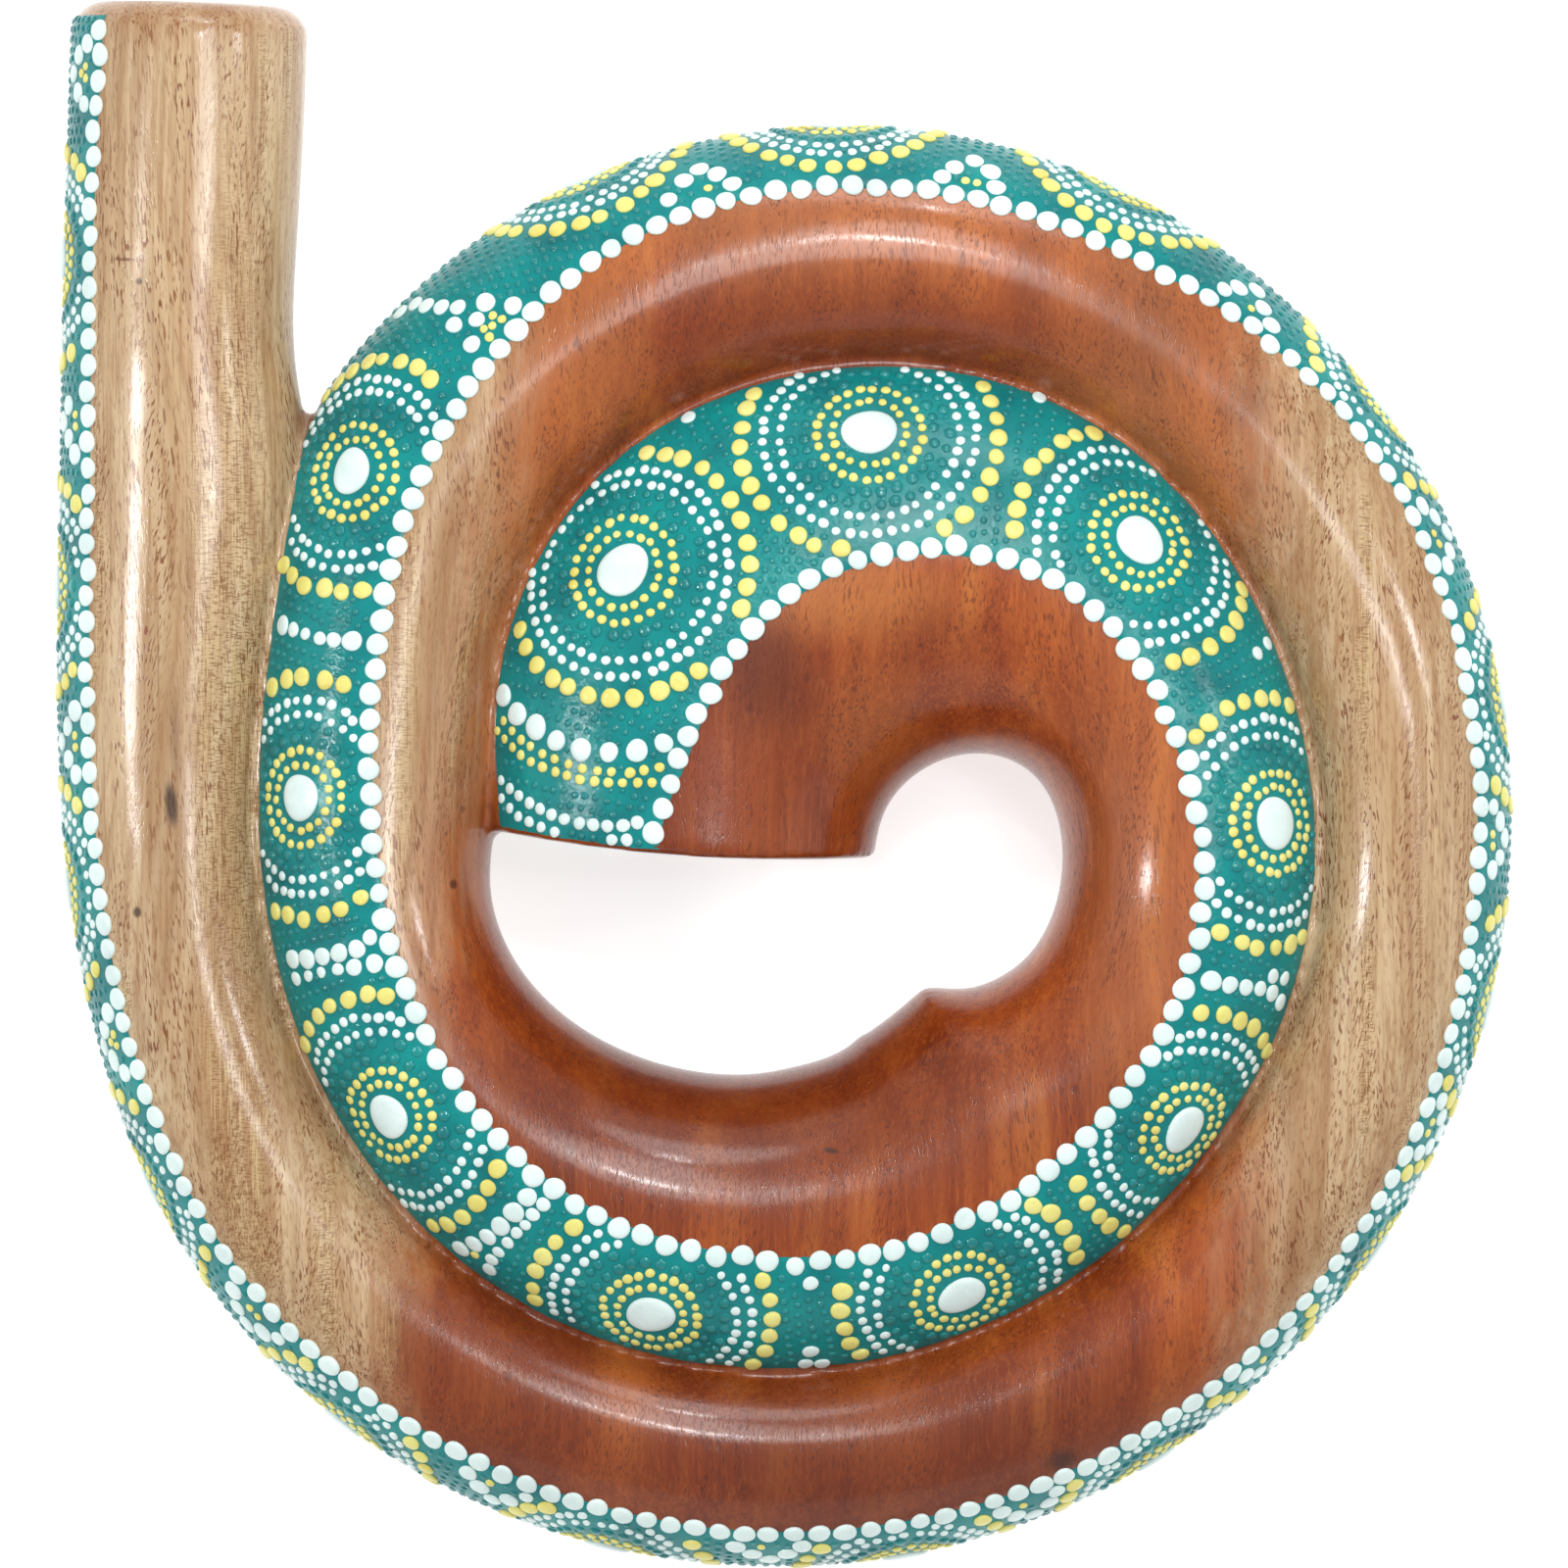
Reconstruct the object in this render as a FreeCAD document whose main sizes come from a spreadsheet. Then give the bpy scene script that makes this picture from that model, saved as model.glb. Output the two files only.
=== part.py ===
import FreeCAD, Part
import math
import os
from FreeCAD import Placement, Rotation
from FreeCAD import Vector as V

# A spiral ("snail") didgeridoo. The tube winds almost two turns in one plane, from the
# mouth end on a straight stem to a bell that opens into the see-through middle. The body
# is carved as two mirrored halves, each hollowed with half of the bore, and glued
# together at the flat middle plane.
#
# Frame: the instrument lies on its back. X right, Y up the stem, Z out of the front.
# Z = 0 is the surface it lies on and the middle plane is at mid_height.

doc = FreeCAD.newDocument("spiral_didgeridoo")

# ---------------------------------------------------------------- driving sizes
sizes = doc.addObject("Spreadsheet::Sheet", "Sizes")
DRIVING = [
    # alias, value in mm or degrees, what it is
    ("mid_height", "39.6", "height of the glued middle plane above the rest plane"),
    ("rest_flat_cut", "0.4", "wood sanded off the lowest ridge of the back half"),
    ("mouth_bore_radius", "15", "bore radius at the mouth end"),
    ("mouth_bore_length", "31", "length of the straight bored part at the mouth end"),
    ("mouth_outer_round", "8", "rounding of the outer edge of the mouth end"),
    ("mouth_inner_round", "2.5", "rounding of the inner edge of the mouth end"),
    ("rim_curve_radius", "388", "radius that the bell's rim is trimmed to"),
    ("rim_centre_x", "1.9", "centre of that radius"),
    ("rim_centre_y", "368.3", "centre of that radius"),
    ("rim_block_x", "-88", "corner of the block of waste wood at the rim"),
    ("rim_block_y", "-60", "corner of the block of waste wood at the rim"),
    ("rim_block_length", "117", "size of that block along X"),
    ("rim_block_width", "54", "size of that block along Y"),
    ("blank_size", "600", "side of the block that trims are cut from"),
]
for row, (alias, value, note) in enumerate(DRIVING, 1):
    sizes.set("A%d" % row, note)
    sizes.set("B%d" % row, value)
    sizes.setAlias("B%d" % row, alias)

# Carving stations along the tube, from the mouth to past the bell's rim. Each is the
# outer and the inner edge of the tube at the middle plane (X and Y of both), where the
# crest lies between them (0 outer, 1 inner), the crest's height above the middle plane,
# and the bore's half width and half height.
STATIONS = [
    (-181.20, 199.56, -121.57, 197.56, 0.500, 29.81, 15.00, 15.00),
    (-181.78, 183.04, -121.97, 180.85, 0.495, 30.00, 15.00, 15.00),
    (-182.26, 168.06, -122.61, 165.82, 0.494, 29.81, 15.00, 15.00),
    (-182.70, 153.09, -123.42, 150.93, 0.498, 29.56, 15.00, 15.00),
    (-183.10, 138.08, -124.35, 136.11, 0.505, 29.31, 15.15, 15.15),
    (-183.46, 123.00, -125.12, 121.34, 0.513, 29.19, 15.30, 15.30),
    (-183.79, 107.83, -124.62, 106.58, 0.513, 29.38, 15.45, 15.45),
    (-184.08, 92.56, -122.27, 91.74, 0.497, 29.20, 15.60, 15.60),
    (-184.34, 77.31, -120.52, 76.84, 0.483, 29.20, 15.80, 15.80),
    (-184.57, 62.13, -121.66, 61.85, 0.486, 29.20, 16.00, 16.00),
    (-184.77, 46.98, -124.50, 46.73, 0.497, 29.20, 16.20, 16.20),
    (-184.92, 31.99, -127.18, 31.68, 0.506, 29.20, 16.40, 16.40),
    (-184.86, 17.12, -129.17, 16.79, 0.511, 29.20, 16.60, 16.60),
    (-184.40, 2.24, -130.27, 2.15, 0.511, 29.20, 16.80, 16.80),
    (-183.13, -15.68, -130.35, -14.28, 0.505, 29.50, 17.00, 17.00),
    (-178.91, -46.86, -127.81, -37.91, 0.490, 29.50, 17.11, 17.11),
    (-171.11, -78.00, -121.91, -60.12, 0.483, 29.50, 17.22, 17.22),
    (-158.97, -107.36, -112.68, -80.93, 0.487, 29.50, 17.33, 17.33),
    (-141.84, -134.07, -100.18, -99.78, 0.498, 29.50, 17.44, 17.44),
    (-119.42, -157.18, -84.51, -116.05, 0.510, 29.50, 17.56, 17.56),
    (-92.76, -175.77, -65.92, -129.18, 0.516, 29.50, 17.67, 17.67),
    (-63.22, -189.06, -45.13, -138.82, 0.516, 29.50, 17.78, 17.78),
    (-31.89, -196.90, -22.93, -144.67, 0.511, 29.50, 17.89, 17.89),
    (0.23, -199.30, -0.15, -146.46, 0.505, 29.50, 18.00, 18.00),
    (32.12, -196.25, 22.47, -144.03, 0.498, 29.50, 18.09, 18.09),
    (62.78, -187.79, 44.30, -137.68, 0.495, 29.50, 18.18, 18.18),
    (91.32, -174.06, 64.83, -127.82, 0.496, 29.50, 18.27, 18.27),
    (117.13, -155.61, 83.54, -114.81, 0.498, 29.50, 18.36, 18.36),
    (139.63, -133.09, 99.92, -99.03, 0.499, 29.50, 18.44, 18.44),
    (158.21, -107.12, 113.43, -80.83, 0.498, 29.50, 18.53, 18.53),
    (172.26, -78.31, 123.53, -60.53, 0.494, 29.50, 18.62, 18.62),
    (181.22, -47.33, 129.72, -38.54, 0.492, 29.50, 18.71, 18.71),
    (184.86, -15.13, 131.88, -15.60, 0.493, 29.50, 18.80, 18.80),
    (183.07, 17.26, 129.97, 7.46, 0.498, 29.78, 19.10, 19.16),
    (175.74, 48.83, 123.98, 29.83, 0.503, 30.06, 19.40, 19.51),
    (162.76, 78.55, 113.96, 50.68, 0.508, 30.33, 19.70, 19.87),
    (144.20, 105.38, 100.29, 69.14, 0.510, 30.61, 20.00, 20.22),
    (120.82, 128.38, 83.48, 84.32, 0.509, 30.89, 20.30, 20.58),
    (93.63, 146.67, 64.10, 95.38, 0.502, 31.17, 20.60, 20.93),
    (63.68, 159.46, 42.90, 101.68, 0.492, 31.44, 20.90, 21.29),
    (32.06, 166.11, 21.10, 103.31, 0.488, 31.72, 21.20, 21.64),
    (-0.10, 166.31, -0.07, 100.60, 0.493, 32.00, 21.50, 22.00),
    (-31.25, 160.41, -19.49, 93.90, 0.500, 32.64, 21.61, 22.28),
    (-59.98, 148.98, -36.31, 83.73, 0.503, 33.28, 21.72, 22.56),
    (-85.29, 132.56, -50.09, 70.94, 0.503, 33.91, 21.83, 22.83),
    (-106.86, 111.74, -60.48, 56.49, 0.507, 34.55, 21.94, 23.11),
    (-123.25, 87.40, -67.30, 41.22, 0.518, 35.17, 22.06, 23.39),
    (-131.05, 60.42, -70.71, 25.47, 0.501, 35.76, 22.17, 23.67),
    (-134.70, 33.92, -71.46, 10.73, 0.478, 36.34, 22.28, 23.94),
    (-136.97, 8.67, -72.50, -2.78, 0.473, 36.92, 22.39, 24.22),
    (-137.01, -15.89, -74.36, -15.35, 0.490, 37.50, 22.50, 24.50),
    (-133.73, -39.79, -74.90, -27.16, 0.511, 37.93, 23.08, 25.00),
    (-124.65, -69.02, -70.90, -41.31, 0.518, 38.40, 23.67, 25.50),
    (-109.72, -96.62, -62.03, -53.98, 0.509, 38.87, 24.25, 26.00),
    (-88.84, -120.63, -49.70, -63.87, 0.498, 39.33, 24.83, 26.50),
    (-62.35, -138.89, -35.49, -70.53, 0.496, 39.65, 25.42, 27.00),
    (-32.96, -149.41, -21.65, -73.85, 0.504, 39.87, 26.00, 27.50),
    (-0.84, -152.94, -7.90, -74.37, 0.513, 40.00, 26.50, 27.75),
    (31.48, -148.80, 5.42, -71.83, 0.510, 40.00, 27.00, 28.00),
    (58.84, -138.59, 18.05, -65.91, 0.494, 40.00, 27.50, 28.25),
    (86.05, -121.45, 35.43, -52.44, 0.467, 40.00, 28.00, 28.50),
    (95.58, -112.78, 44.50, -52.64, 0.493, 40.00, 27.86, 28.50),
    (107.17, -99.81, 53.81, -50.25, 0.511, 40.00, 27.72, 28.50),
    (118.46, -83.70, 61.31, -45.03, 0.514, 40.00, 27.58, 28.50),
    (128.78, -63.53, 66.94, -36.97, 0.506, 40.00, 27.44, 28.50),
    (135.93, -40.68, 70.12, -27.37, 0.498, 40.00, 27.30, 28.50),
    (138.44, -15.72, 70.94, -17.55, 0.497, 40.00, 27.70, 28.67),
    (135.66, 10.08, 69.60, -8.71, 0.496, 40.00, 28.10, 28.83),
    (127.22, 37.10, 66.31, -1.39, 0.494, 40.00, 28.50, 29.00),
    (112.44, 64.55, 61.31, 3.72, 0.495, 40.00, 31.00, 29.67),
    (91.26, 87.93, 55.26, 6.52, 0.502, 40.00, 33.50, 30.33),
    (60.40, 104.65, 48.05, 7.29, 0.508, 40.00, 36.00, 31.00),
    (24.25, 110.44, 40.75, 5.81, 0.509, 40.00, 38.00, 31.50),
    (-9.25, 105.62, 34.62, 2.73, 0.507, 40.00, 40.00, 32.00),
    (-39.01, 91.45, 29.58, -1.61, 0.505, 40.00, 42.00, 32.50),
    (-59.52, 71.85, 26.34, -6.17, 0.502, 40.00, 42.67, 32.77),
    (-72.67, 47.50, 24.39, -11.06, 0.499, 40.00, 43.33, 33.03),
    (-78.29, 22.17, 23.34, -16.14, 0.494, 40.00, 44.00, 33.30),
    (-78.22, -1.88, 22.76, -21.18, 0.485, 40.00, 43.50, 33.37),
    (-77.71, -22.83, 22.37, -27.16, 0.490, 40.00, 43.50, 33.43),
    (-77.82, -30.70, 22.18, -32.94, 0.500, 40.00, 43.50, 33.50),
]
FIRST_TURN_END = 41  # at the top of the coil, where the first carved length ends
DRILLED_TO = 2  # where the straight bored part ends
CUSP = 60  # where the two hollows of the open middle meet in a point
table = doc.addObject("Spreadsheet::Sheet", "Stations")
for col, name in zip("ABCDEFGH", ("outer_x", "outer_y", "inner_x", "inner_y", "crest", "height", "bore_width", "bore_height")):
    table.set("%s1" % col, name)
for row, station in enumerate(STATIONS, 2):
    for col, value in zip("ABCDEFGH", station):
        table.set("%s%d" % (col, row), "%.3f" % value)
doc.recompute()


def size(alias):
    """A driving size as a number."""
    return float(sizes.get(alias))


def station(i):
    """One row of the station sheet as numbers."""
    return [float(table.get("%s%d" % (c, i + 2))) for c in "ABCDEFGH"]


rows = [station(i) for i in range(len(STATIONS))]
outer = [V(r[0], r[1], 0) for r in rows]
inner = [V(r[2], r[3], 0) for r in rows]
crest = [o + (n - o) * r[4] for o, n, r in zip(outer, inner, rows)]
along = [0.0]
for p, q in zip(crest, crest[1:]):
    along.append(along[-1] + (q - p).Length)
middle = [(o + n) * 0.5 for o, n in zip(outer, inner)]
mouth_axis = (middle[0] - middle[DRILLED_TO]).normalize()
W = math.sqrt(0.5)  # weight of a quarter ellipse's corner pole


def run(points, first, last):
    """A smooth curve through the points of stations first to last."""
    curve = Part.BSplineCurve()
    curve.interpolate(Points=points[first : last + 1], Parameters=along[first : last + 1])
    return curve


def part_of(curve, first, last):
    """The same curve between two of its stations."""
    piece = curve.copy()
    piece.segment(along[first], along[last])
    return piece


def skin(curves):
    """The surface whose cross-sections are two quarter ellipses through five pole curves."""
    poles = [list(p) for p in zip(*[c.getPoles() for c in curves])]
    weights = [[1.0, W, 1.0, W, 1.0] for _ in poles]
    surface = Part.BSplineSurface()
    surface.buildFromPolesMultsKnots(
        poles,
        curves[0].getMultiplicities(),
        [3, 2, 3],
        curves[0].getKnots(),
        [0.0, 0.5, 1.0],
        False,
        False,
        curves[0].Degree,
        2,
        weights,
    )
    return surface


def closed(surfaces, planar):
    """A solid from curved surfaces and the wires of its flat faces."""
    faces = [s.toShape() for s in surfaces] + [Part.Face(Part.Wire(Part.__sortEdges__(e))) for e in planar]
    shell = Part.Shell(faces)
    shell.sewShape()
    solid = Part.Solid(shell)
    if solid.Volume < 0:
        solid.reverse()
    return solid


def up(points, heights):
    return [p + V(0, 0, z) for p, z in zip(points, heights)]


heights = [r[5] for r in rows]
LAST = len(rows) - 1


def carved(first, last, whole_first, whole_last):
    """The upper half of a length of the tube, standing on the middle plane.

    The outer side and the crest run smoothly over the whole path. The inner side runs
    smoothly from whole_first to whole_last, so that it may turn sharply at the cusp."""
    sets = [
        (outer, 0, LAST),
        (up(outer, heights), 0, LAST),
        (up(crest, heights), 0, LAST),
        (up(inner, heights), whole_first, whole_last),
        (inner, whole_first, whole_last),
    ]
    surface = skin([part_of(run(p, a, b), first, last) for p, a, b in sets])
    u0, u1, v0, v1 = surface.bounds()
    start, end = surface.uIso(u0).toShape(), surface.uIso(u1).toShape()
    out_edge, in_edge = surface.vIso(v0).toShape(), surface.vIso(v1).toShape()
    line0 = Part.LineSegment(surface.value(u0, v0), surface.value(u0, v1)).toShape()
    line1 = Part.LineSegment(surface.value(u1, v0), surface.value(u1, v1)).toShape()
    return closed([surface], [[out_edge, line1, in_edge, line0], [start, line0], [end, line1]])


def bored(first, last):
    """The core of the bore: full ellipses about the crest line's foot, as one solid."""
    side = [(o - n).normalize() for o, n in zip(outer, inner)]
    side[first] = V(-mouth_axis.y, mouth_axis.x, 0)
    left = [m + d * r[6] for m, d, r in zip(middle, side, rows)]
    right = [m - d * r[6] for m, d, r in zip(middle, side, rows)]
    halves = []
    for sign in (1, -1):
        tall = [sign * r[7] for r in rows]
        sets = [left, up(left, tall), up(middle, tall), up(right, tall), right]
        halves.append(skin([run(p, first, last) for p in sets]))
    ends = []
    for u in (halves[0].bounds()[0], halves[0].bounds()[1]):
        ends.append([s.uIso(u).toShape() for s in halves])
    return closed(halves, ends)


def feature(name, shape, label=None):
    made = doc.addObject("Part::Feature", name)
    made.Label = label or name
    made.Shape = shape
    return made


# ---------------------------------------------------------------- carved lengths of the tube
# Each length is less than one turn, so none meets itself. They overlap their neighbours
# in the valley between the turns, where the wood is continuous.
first_turn = carved(0, FIRST_TURN_END, 0, CUSP)
end_plane = (inner[0] - outer[0]).cross(V(0, 0, 1)).normalize()
mouth_arc = []
for edge in first_turn.Edges:
    points = edge.discretize(9)
    if all(abs((p - outer[0]).dot(end_plane)) < 0.01 for p in points) and max(p.z for p in points) > 5:
        mouth_arc.append(edge)
stem = feature("stem_and_first_turn", first_turn.makeFillet(size("mouth_outer_round"), mouth_arc))
second = feature("second_turn", carved(FIRST_TURN_END, CUSP, 0, CUSP))
third = feature("last_turn_and_bell", carved(CUSP, LAST, CUSP, LAST))

# The bell's rim is trimmed across with a slight outward bow: the waste is a block at the
# bell's end, less a drum whose wall is the rim.
drum = doc.addObject("Part::Cylinder", "rim_drum")
drum.setExpression("Radius", "Sizes.rim_curve_radius")
drum.setExpression("Height", "Sizes.blank_size / 4")
drum.setExpression("Placement.Base.x", "Sizes.rim_centre_x")
drum.setExpression("Placement.Base.y", "Sizes.rim_centre_y")
drum.setExpression("Placement.Base.z", "-Sizes.blank_size / 8")
block = doc.addObject("Part::Box", "rim_block")
block.setExpression("Length", "Sizes.rim_block_length")
block.setExpression("Width", "Sizes.rim_block_width")
block.setExpression("Height", "Sizes.blank_size / 6")
block.setExpression("Placement.Base.x", "Sizes.rim_block_x")
block.setExpression("Placement.Base.y", "Sizes.rim_block_y")
block.setExpression("Placement.Base.z", "-Sizes.blank_size / 12")
waste = doc.addObject("Part::Cut", "rim_waste")
waste.Base = block
waste.Tool = drum
bell = doc.addObject("Part::Cut", "trimmed_bell")
bell.Base = third
bell.Tool = waste

blank = doc.addObject("Part::MultiFuse", "carved_blank")
blank.Shapes = [stem, second, bell]

# ---------------------------------------------------------------- bore
# The bore keeps to the middle of the tube. Its first length, from the mouth, is a plain
# drilled hole square to the mouth end, and the carved bore goes on from there.
core = feature("bore_core", bored(DRILLED_TO, LAST))
drill = doc.addObject("Part::Cylinder", "mouth_drill")
drill.setExpression("Radius", "Sizes.mouth_bore_radius")
drill.setExpression("Height", "Sizes.mouth_bore_length + 20")
drill.Placement = Placement(middle[DRILLED_TO], Rotation(V(0, 0, 1), mouth_axis))
bored_blank = doc.addObject("Part::Cut", "bored_blank")
bored_blank.Base = blank
bored_blank.Tool = core
drilled = doc.addObject("Part::Cut", "drilled_blank")
drilled.Base = bored_blank
drilled.Tool = drill
doc.recompute()

# The inner edge of the mouth end is rounded for the lips.
mouth_middle = (outer[0] + inner[0]) * 0.5
rounded = doc.addObject("Part::Fillet", "half_body")
rounded.Base = drilled
picked = []
for number, edge in enumerate(drilled.Shape.Edges, 1):
    points = edge.discretize(9)
    on_plane = all(abs((p - mouth_middle).dot(mouth_axis)) < 0.2 for p in points)
    on_bore = all(abs((p - mouth_middle).Length - size("mouth_bore_radius")) < 0.4 for p in points)
    if on_plane and on_bore:
        picked.append((number, size("mouth_inner_round"), size("mouth_inner_round")))
rounded.Edges = picked

# ---------------------------------------------------------------- the two halves
front_room = doc.addObject("Part::Box", "front_room")
for side_name in ("Length", "Width"):
    front_room.setExpression(side_name, "Sizes.blank_size")
front_room.setExpression("Height", "Sizes.blank_size / 4")
front_room.setExpression("Placement.Base.x", "-Sizes.blank_size / 2")
front_room.setExpression("Placement.Base.y", "-Sizes.blank_size / 2")
front = doc.addObject("Part::Common", "front_half")
front.Base = rounded
front.Tool = front_room

mirrored = doc.addObject("Part::Mirroring", "mirrored_body")
mirrored.Source = rounded
mirrored.Base = V(0, 0, 0)
mirrored.Normal = V(0, 0, 1)
sanding = doc.addObject("Part::Box", "rest_sanding")
for side_name in ("Length", "Width"):
    sanding.setExpression(side_name, "Sizes.blank_size")
sanding.setExpression("Height", "Sizes.blank_size / 10")
sanding.setExpression("Placement.Base.x", "-Sizes.blank_size / 2")
sanding.setExpression("Placement.Base.y", "-Sizes.blank_size / 2")
sanding.setExpression("Placement.Base.z", "-Sizes.mid_height - Sizes.blank_size / 10")
back = doc.addObject("Part::Cut", "back_half")
back.Base = mirrored
back.Tool = sanding
for half in (front, back):
    half.setExpression("Placement.Base.z", "Sizes.mid_height")
doc.recompute()

# ---------------------------------------------------------------- checks and export
for made in doc.Objects:
    if {"Invalid", "Error"} & set(made.State):
        raise RuntimeError("%s is in state %s" % (made.Label, made.State))
os.makedirs("parts", exist_ok=True)
for half in (front, back):
    shape = half.Shape
    if shape.isNull() or not shape.isValid() or len(shape.Solids) != 1:
        raise RuntimeError("%s has no single valid solid: %d" % (half.Label, len(shape.Solids)))
    box = shape.optimalBoundingBox()
    print(half.Label, "volume cm3 %.1f" % (shape.Volume / 1000), "faces", len(shape.Faces), "box", [round(v, 2) for v in (box.XMin, box.YMin, box.ZMin, box.XMax, box.YMax, box.ZMax)])
    shape.exportStep("parts/%s.step" % half.Label)
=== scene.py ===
import math

import bmesh
import bpy
import numpy as np
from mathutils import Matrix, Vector
from mathutils.bvhtree import BVHTree
from mathutils.kdtree import KDTree


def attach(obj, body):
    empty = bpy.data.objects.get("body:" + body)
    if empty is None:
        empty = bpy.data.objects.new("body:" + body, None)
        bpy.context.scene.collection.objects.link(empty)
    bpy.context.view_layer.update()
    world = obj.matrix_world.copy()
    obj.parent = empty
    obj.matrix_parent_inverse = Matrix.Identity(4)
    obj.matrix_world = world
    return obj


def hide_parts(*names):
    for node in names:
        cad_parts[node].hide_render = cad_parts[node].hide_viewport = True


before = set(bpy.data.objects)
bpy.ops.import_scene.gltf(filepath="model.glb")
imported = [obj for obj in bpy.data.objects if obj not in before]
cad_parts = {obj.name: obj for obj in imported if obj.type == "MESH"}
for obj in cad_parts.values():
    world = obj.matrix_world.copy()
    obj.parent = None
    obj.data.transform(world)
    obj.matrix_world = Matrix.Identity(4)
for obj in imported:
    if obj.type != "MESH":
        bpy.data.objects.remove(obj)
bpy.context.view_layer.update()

# A spiral didgeridoo lying on its back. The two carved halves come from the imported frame; here they get
# their sanded and rounded finish, the teal paint band, its raised dots and the lacquer.
# Lengths below are in millimetres until a mesh is made.
rng = np.random.default_rng(20611)
MID = 39.6  # height of the glued mid-plane

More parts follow.
